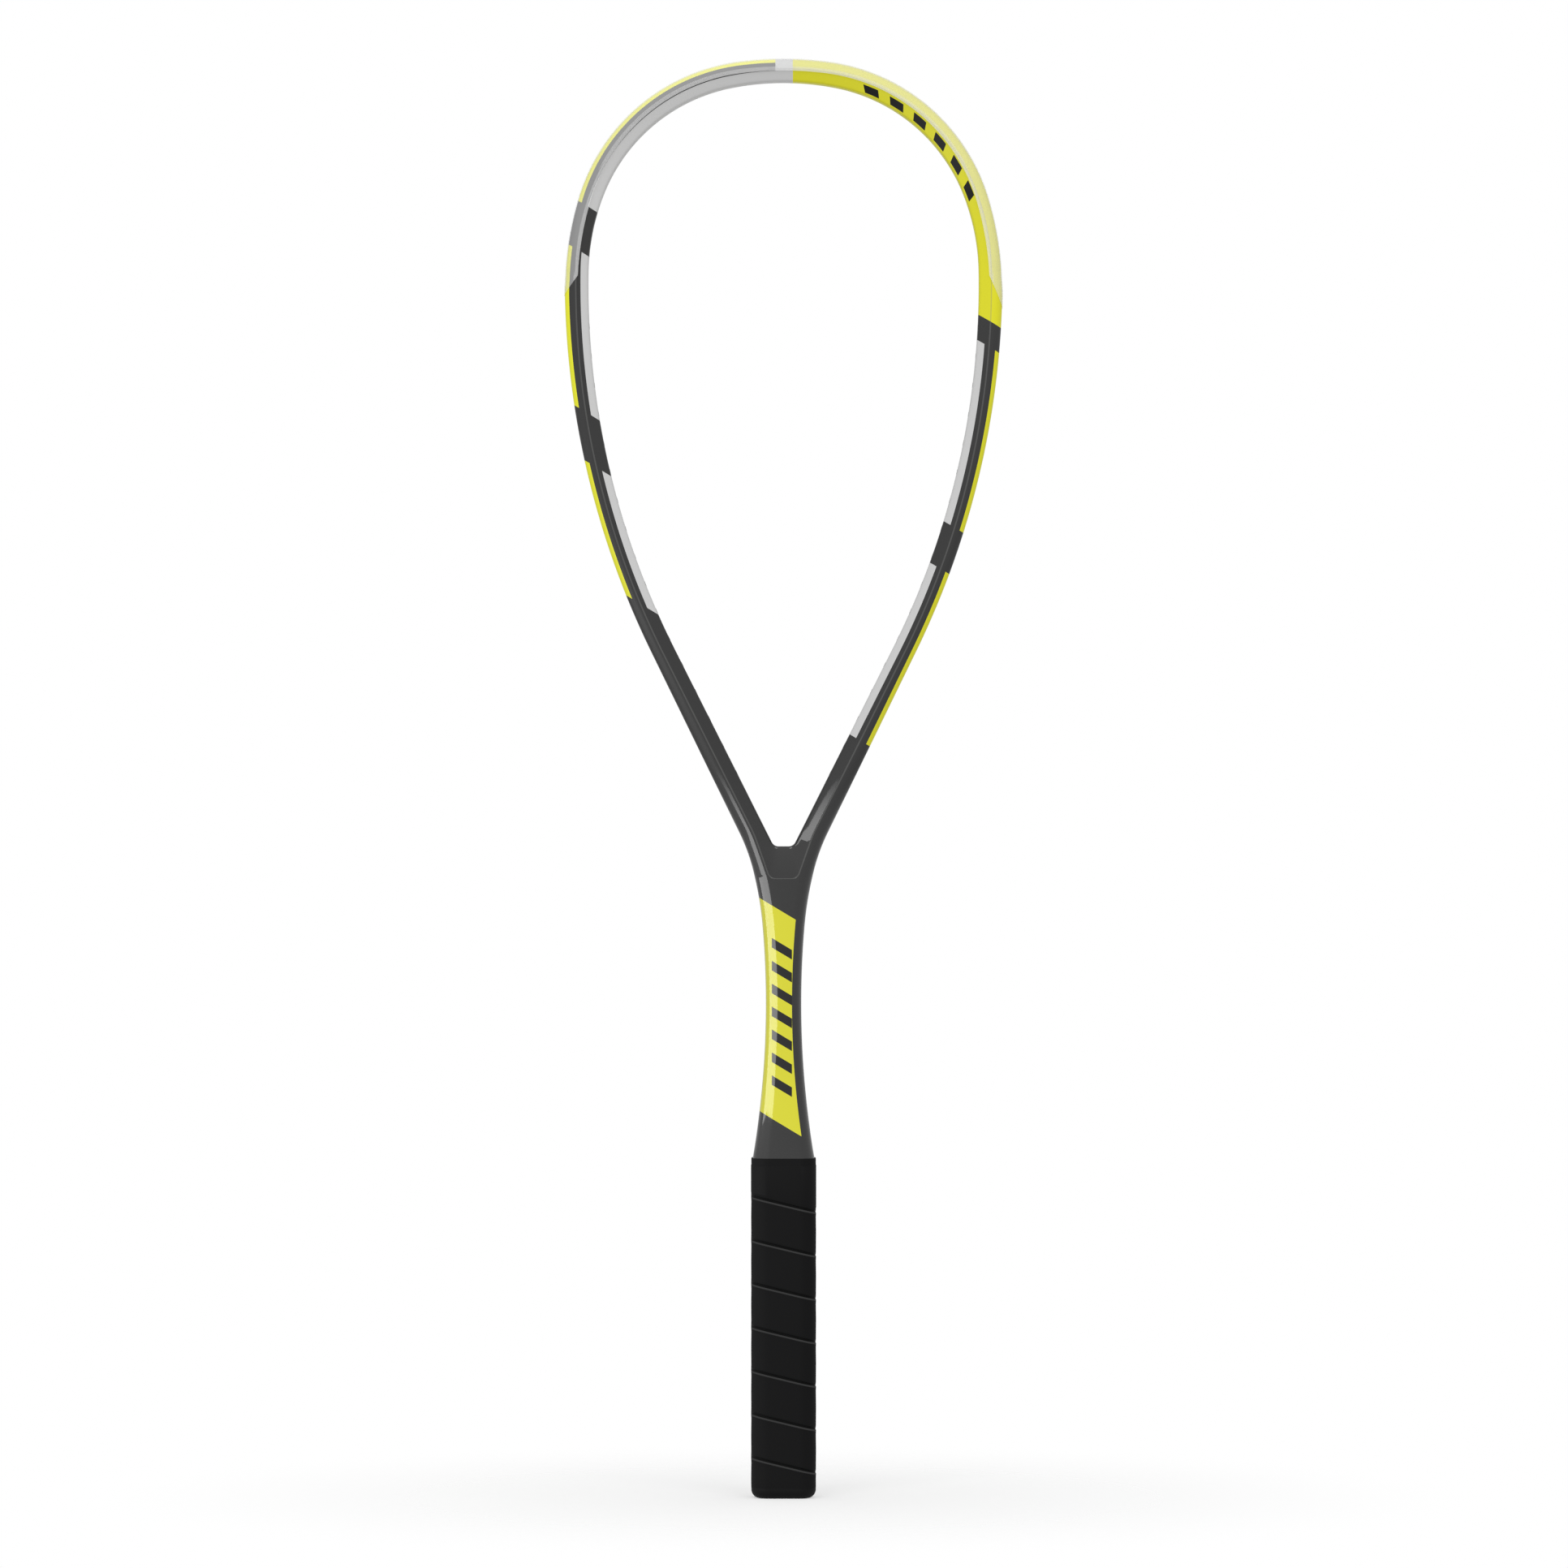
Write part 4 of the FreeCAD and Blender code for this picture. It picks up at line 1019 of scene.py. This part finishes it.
leaning = calc(tree, "ADD", distance, calc(tree, "MULTIPLY", from_in, HEAD_BAR_LEAN))
head_bars = both(tree, right_head, between(tree, leaning, *HEAD_BARS),
                 bars(tree, leaning, HEAD_BARS[0], HEAD_BAR_PITCH, HEAD_BAR_DUTY),
                 between(tree, from_in, *HEAD_BAR_BAND))
shaft_bars = both(tree, panel, between(tree, cut, *SHAFT_BARS), between(tree, x, *SHAFT_BAR_SIDES),
                  bars(tree, cut, SHAFT_BARS[0], SHAFT_BAR_PITCH, SHAFT_BAR_DUTY))
ink_mask = calc(tree, "MAXIMUM", head_bars, shaft_bars)
print(f"stripe and bar masks: {len(tree.nodes)} nodes")

# %% Lacquer: colours, painted crest highlight, flake and orange peel
CREST_HIGHLIGHT_GREY, CREST_HIGHLIGHT_STRENGTH = (0.21, 0.21, 0.205), 0.3
CREST_HIGHLIGHT_BAND, CREST_HIGHLIGHT_LOW = (-0.5, 0.32), 290.0
FLAKE_LOW, FLAKE_HIGH = 0.86, 1.14
GLOSS_FULL, GLOSS_GONE, GLOSS_WEIGHT = 318.0, 350.0, 0.8
flake = node(tree, "ShaderNodeTexNoise")
set_inputs(flake, Scale=1400, Detail=2)
tree.links.new(node(tree, "ShaderNodeTexCoord").outputs["Object"], flake.inputs["Vector"])
dark = paint_over(tree, tuple(FLAKE_LOW * c for c in DARK), tuple(FLAKE_HIGH * c for c in DARK),
                  flake.outputs[0])
# painted sheen: where the varnish fades above the throat, the dark paint is mixed lighter to stand in
# for the reflection it no longer gives
matt = node(tree, "ShaderNodeMapRange", interpolation_type="SMOOTHSTEP")
set_inputs(matt, From_Min=GLOSS_FULL, From_Max=GLOSS_GONE)
tree.links.new(z, matt.inputs["Value"])
dark = paint_over(tree, dark, DARK_WITH_PAINTED_SHEEN, matt.outputs["Result"])
# painted highlight: a thin mid-grey line along the crest, lighter than the dark paint where the ridge
# catches the light, and darker over the yellow
crest_highlight = both(tree, between(tree, crest_gap, *CREST_HIGHLIGHT_BAND),
                  calc(tree, "GREATER_THAN", z, CREST_HIGHLIGHT_LOW))
color = paint_over(tree, dark, PALE_GREY, grey_mask)
color = paint_over(tree, color, YELLOW, yellow_mask)
color = paint_over(tree, color, STRIPE_YELLOW, bright_mask)
color = paint_over(tree, color, INK, ink_mask)
color = paint_over(tree, color, CREST_HIGHLIGHT_GREY, calc(tree, "MULTIPLY", crest_highlight, CREST_HIGHLIGHT_STRENGTH))
tree.links.new(color, shader.inputs["Base Color"])
gloss = node(tree, "ShaderNodeMapRange", interpolation_type="SMOOTHSTEP")
set_inputs(gloss, From_Min=GLOSS_FULL, From_Max=GLOSS_GONE, To_Min=GLOSS_WEIGHT, To_Max=0.0)
tree.links.new(z, gloss.inputs["Value"])
tree.links.new(gloss.outputs["Result"], shader.inputs["Coat Weight"])
grain_bump(tree, shader, 160, 0.012, 0.1, detail=0)
for piece in (frame_piece, wedge_piece):
    piece.data.materials.append(paint)
print(f"finish {paint.name}: {len(tree.nodes)} nodes")

# %% [markdown]
# ## Plastics, rubber and cushion
#
# The guard is milky clear nylon: light goes part of the way through and the paint shows
# paler below it. Thin shells render more steadily as partly transparent than as glass, and
# the paint stays sharp. The grip is a matt polyurethane cushion with a fine leather-like
# grain, the collar is rubber, the tape is vinyl, the strips are black nylon, and the butt cap
# is moulded plastic. What hides in the handle has its own finishes: steel, foam and lead.

# %% Guard, grip and tape finishes
CUSHION, LAP_LIP_HIGHLIGHT, GROOVE_SHADE = (0.0042, 0.0042, 0.0044), (0.036, 0.036, 0.036), (0.0008, 0.0008, 0.0008)
LAP_EDGE, LAP_HIGHLIGHT_END, NEXT_LAP = 0.85, 1.65, PITCH - 0.3
milky = grained("milky_nylon", 300, 0.02, 0.05, Base_Color=(0.97, 0.97, 0.97, 1), Roughness=0.5,
                Alpha=0.27, Specular_IOR_Level=0.15)
cushion, tree, shader = new_finish("cushion_grip", Roughness=0.74, Specular_IOR_Level=0.12)
lap_gap = measure(tree, "below_lap")
# painted highlight: the raised lip just below each lap is coloured lighter, where it catches the light
color = paint_over(tree, CUSHION, LAP_LIP_HIGHLIGHT, between(tree, lap_gap, LAP_EDGE, LAP_HIGHLIGHT_END))
# painted shade: the groove at each lap is coloured nearly black, where the overlap shades it
groove = any_of(tree, [calc(tree, "LESS_THAN", lap_gap, LAP_EDGE),
                       calc(tree, "GREATER_THAN", lap_gap, NEXT_LAP)])
tree.links.new(paint_over(tree, color, GROOVE_SHADE, groove), shader.inputs["Base Color"])
grain_bump(tree, shader, 1600, 0.25, 0.08)
print(f"finish {cushion.name}: {len(tree.nodes)} nodes")
vinyl = grained("vinyl_tape", 900, 0.15, 0.08, Base_Color=(*CUSHION, 1), Roughness=0.66,
                Specular_IOR_Level=0.12)
for piece, finish in ((guard, milky), (string_tubes, milky), (wrap_piece, cushion), (tape_piece, vinyl)):
    piece.data.materials.append(finish)


# %% Finishes of the strips and of the pieces that keep their CAD shapes
def dress(node_name, finish):
    """Give a CAD node that stays in view its finish."""
    for piece in bpy.context.scene.objects:
        if piece.type == "MESH" and piece.name == node_name:
            piece.data.materials.clear()
            piece.data.materials.append(finish)


rubber = grained("collar_rubber", 1200, 0.2, 0.1, Base_Color=(*CUSHION, 1), Roughness=0.7,
                 Specular_IOR_Level=0.12)
moulded = grained("moulded_cap", 1500, 0.25, 0.1, Base_Color=(*CUSHION, 1), Roughness=0.62,
                  Specular_IOR_Level=0.12)
nylon = grained("black_nylon", 900, 0.2, 0.1, Base_Color=(0.012, 0.012, 0.012, 1), Roughness=0.5)
steel = grained("staple_wire", 2200, 0.1, 0.02, Base_Color=(0.55, 0.55, 0.56, 1), Metallic=1.0,
                Roughness=0.3)
foam = grained("rigid_foam", 500, 0.6, 0.3, Base_Color=(0.72, 0.68, 0.55, 1), Roughness=0.9)
lead = grained("weight_metal", 300, 0.3, 0.1, Base_Color=(0.32, 0.33, 0.35, 1), Metallic=1.0,
               Roughness=0.5)
dress("grip_collar", rubber)
dress("butt_cap", moulded)
for band_piece in strips.values():
    band_piece.data.materials.append(nylon)
dress("butt_staples", steel)
dress("grip_tack", steel)
dress("handle_foam", foam)
dress("balance_weight", lead)

# %% Sizes
print("CAD box", [list(np.round(c, 4)) for c in cad_box])
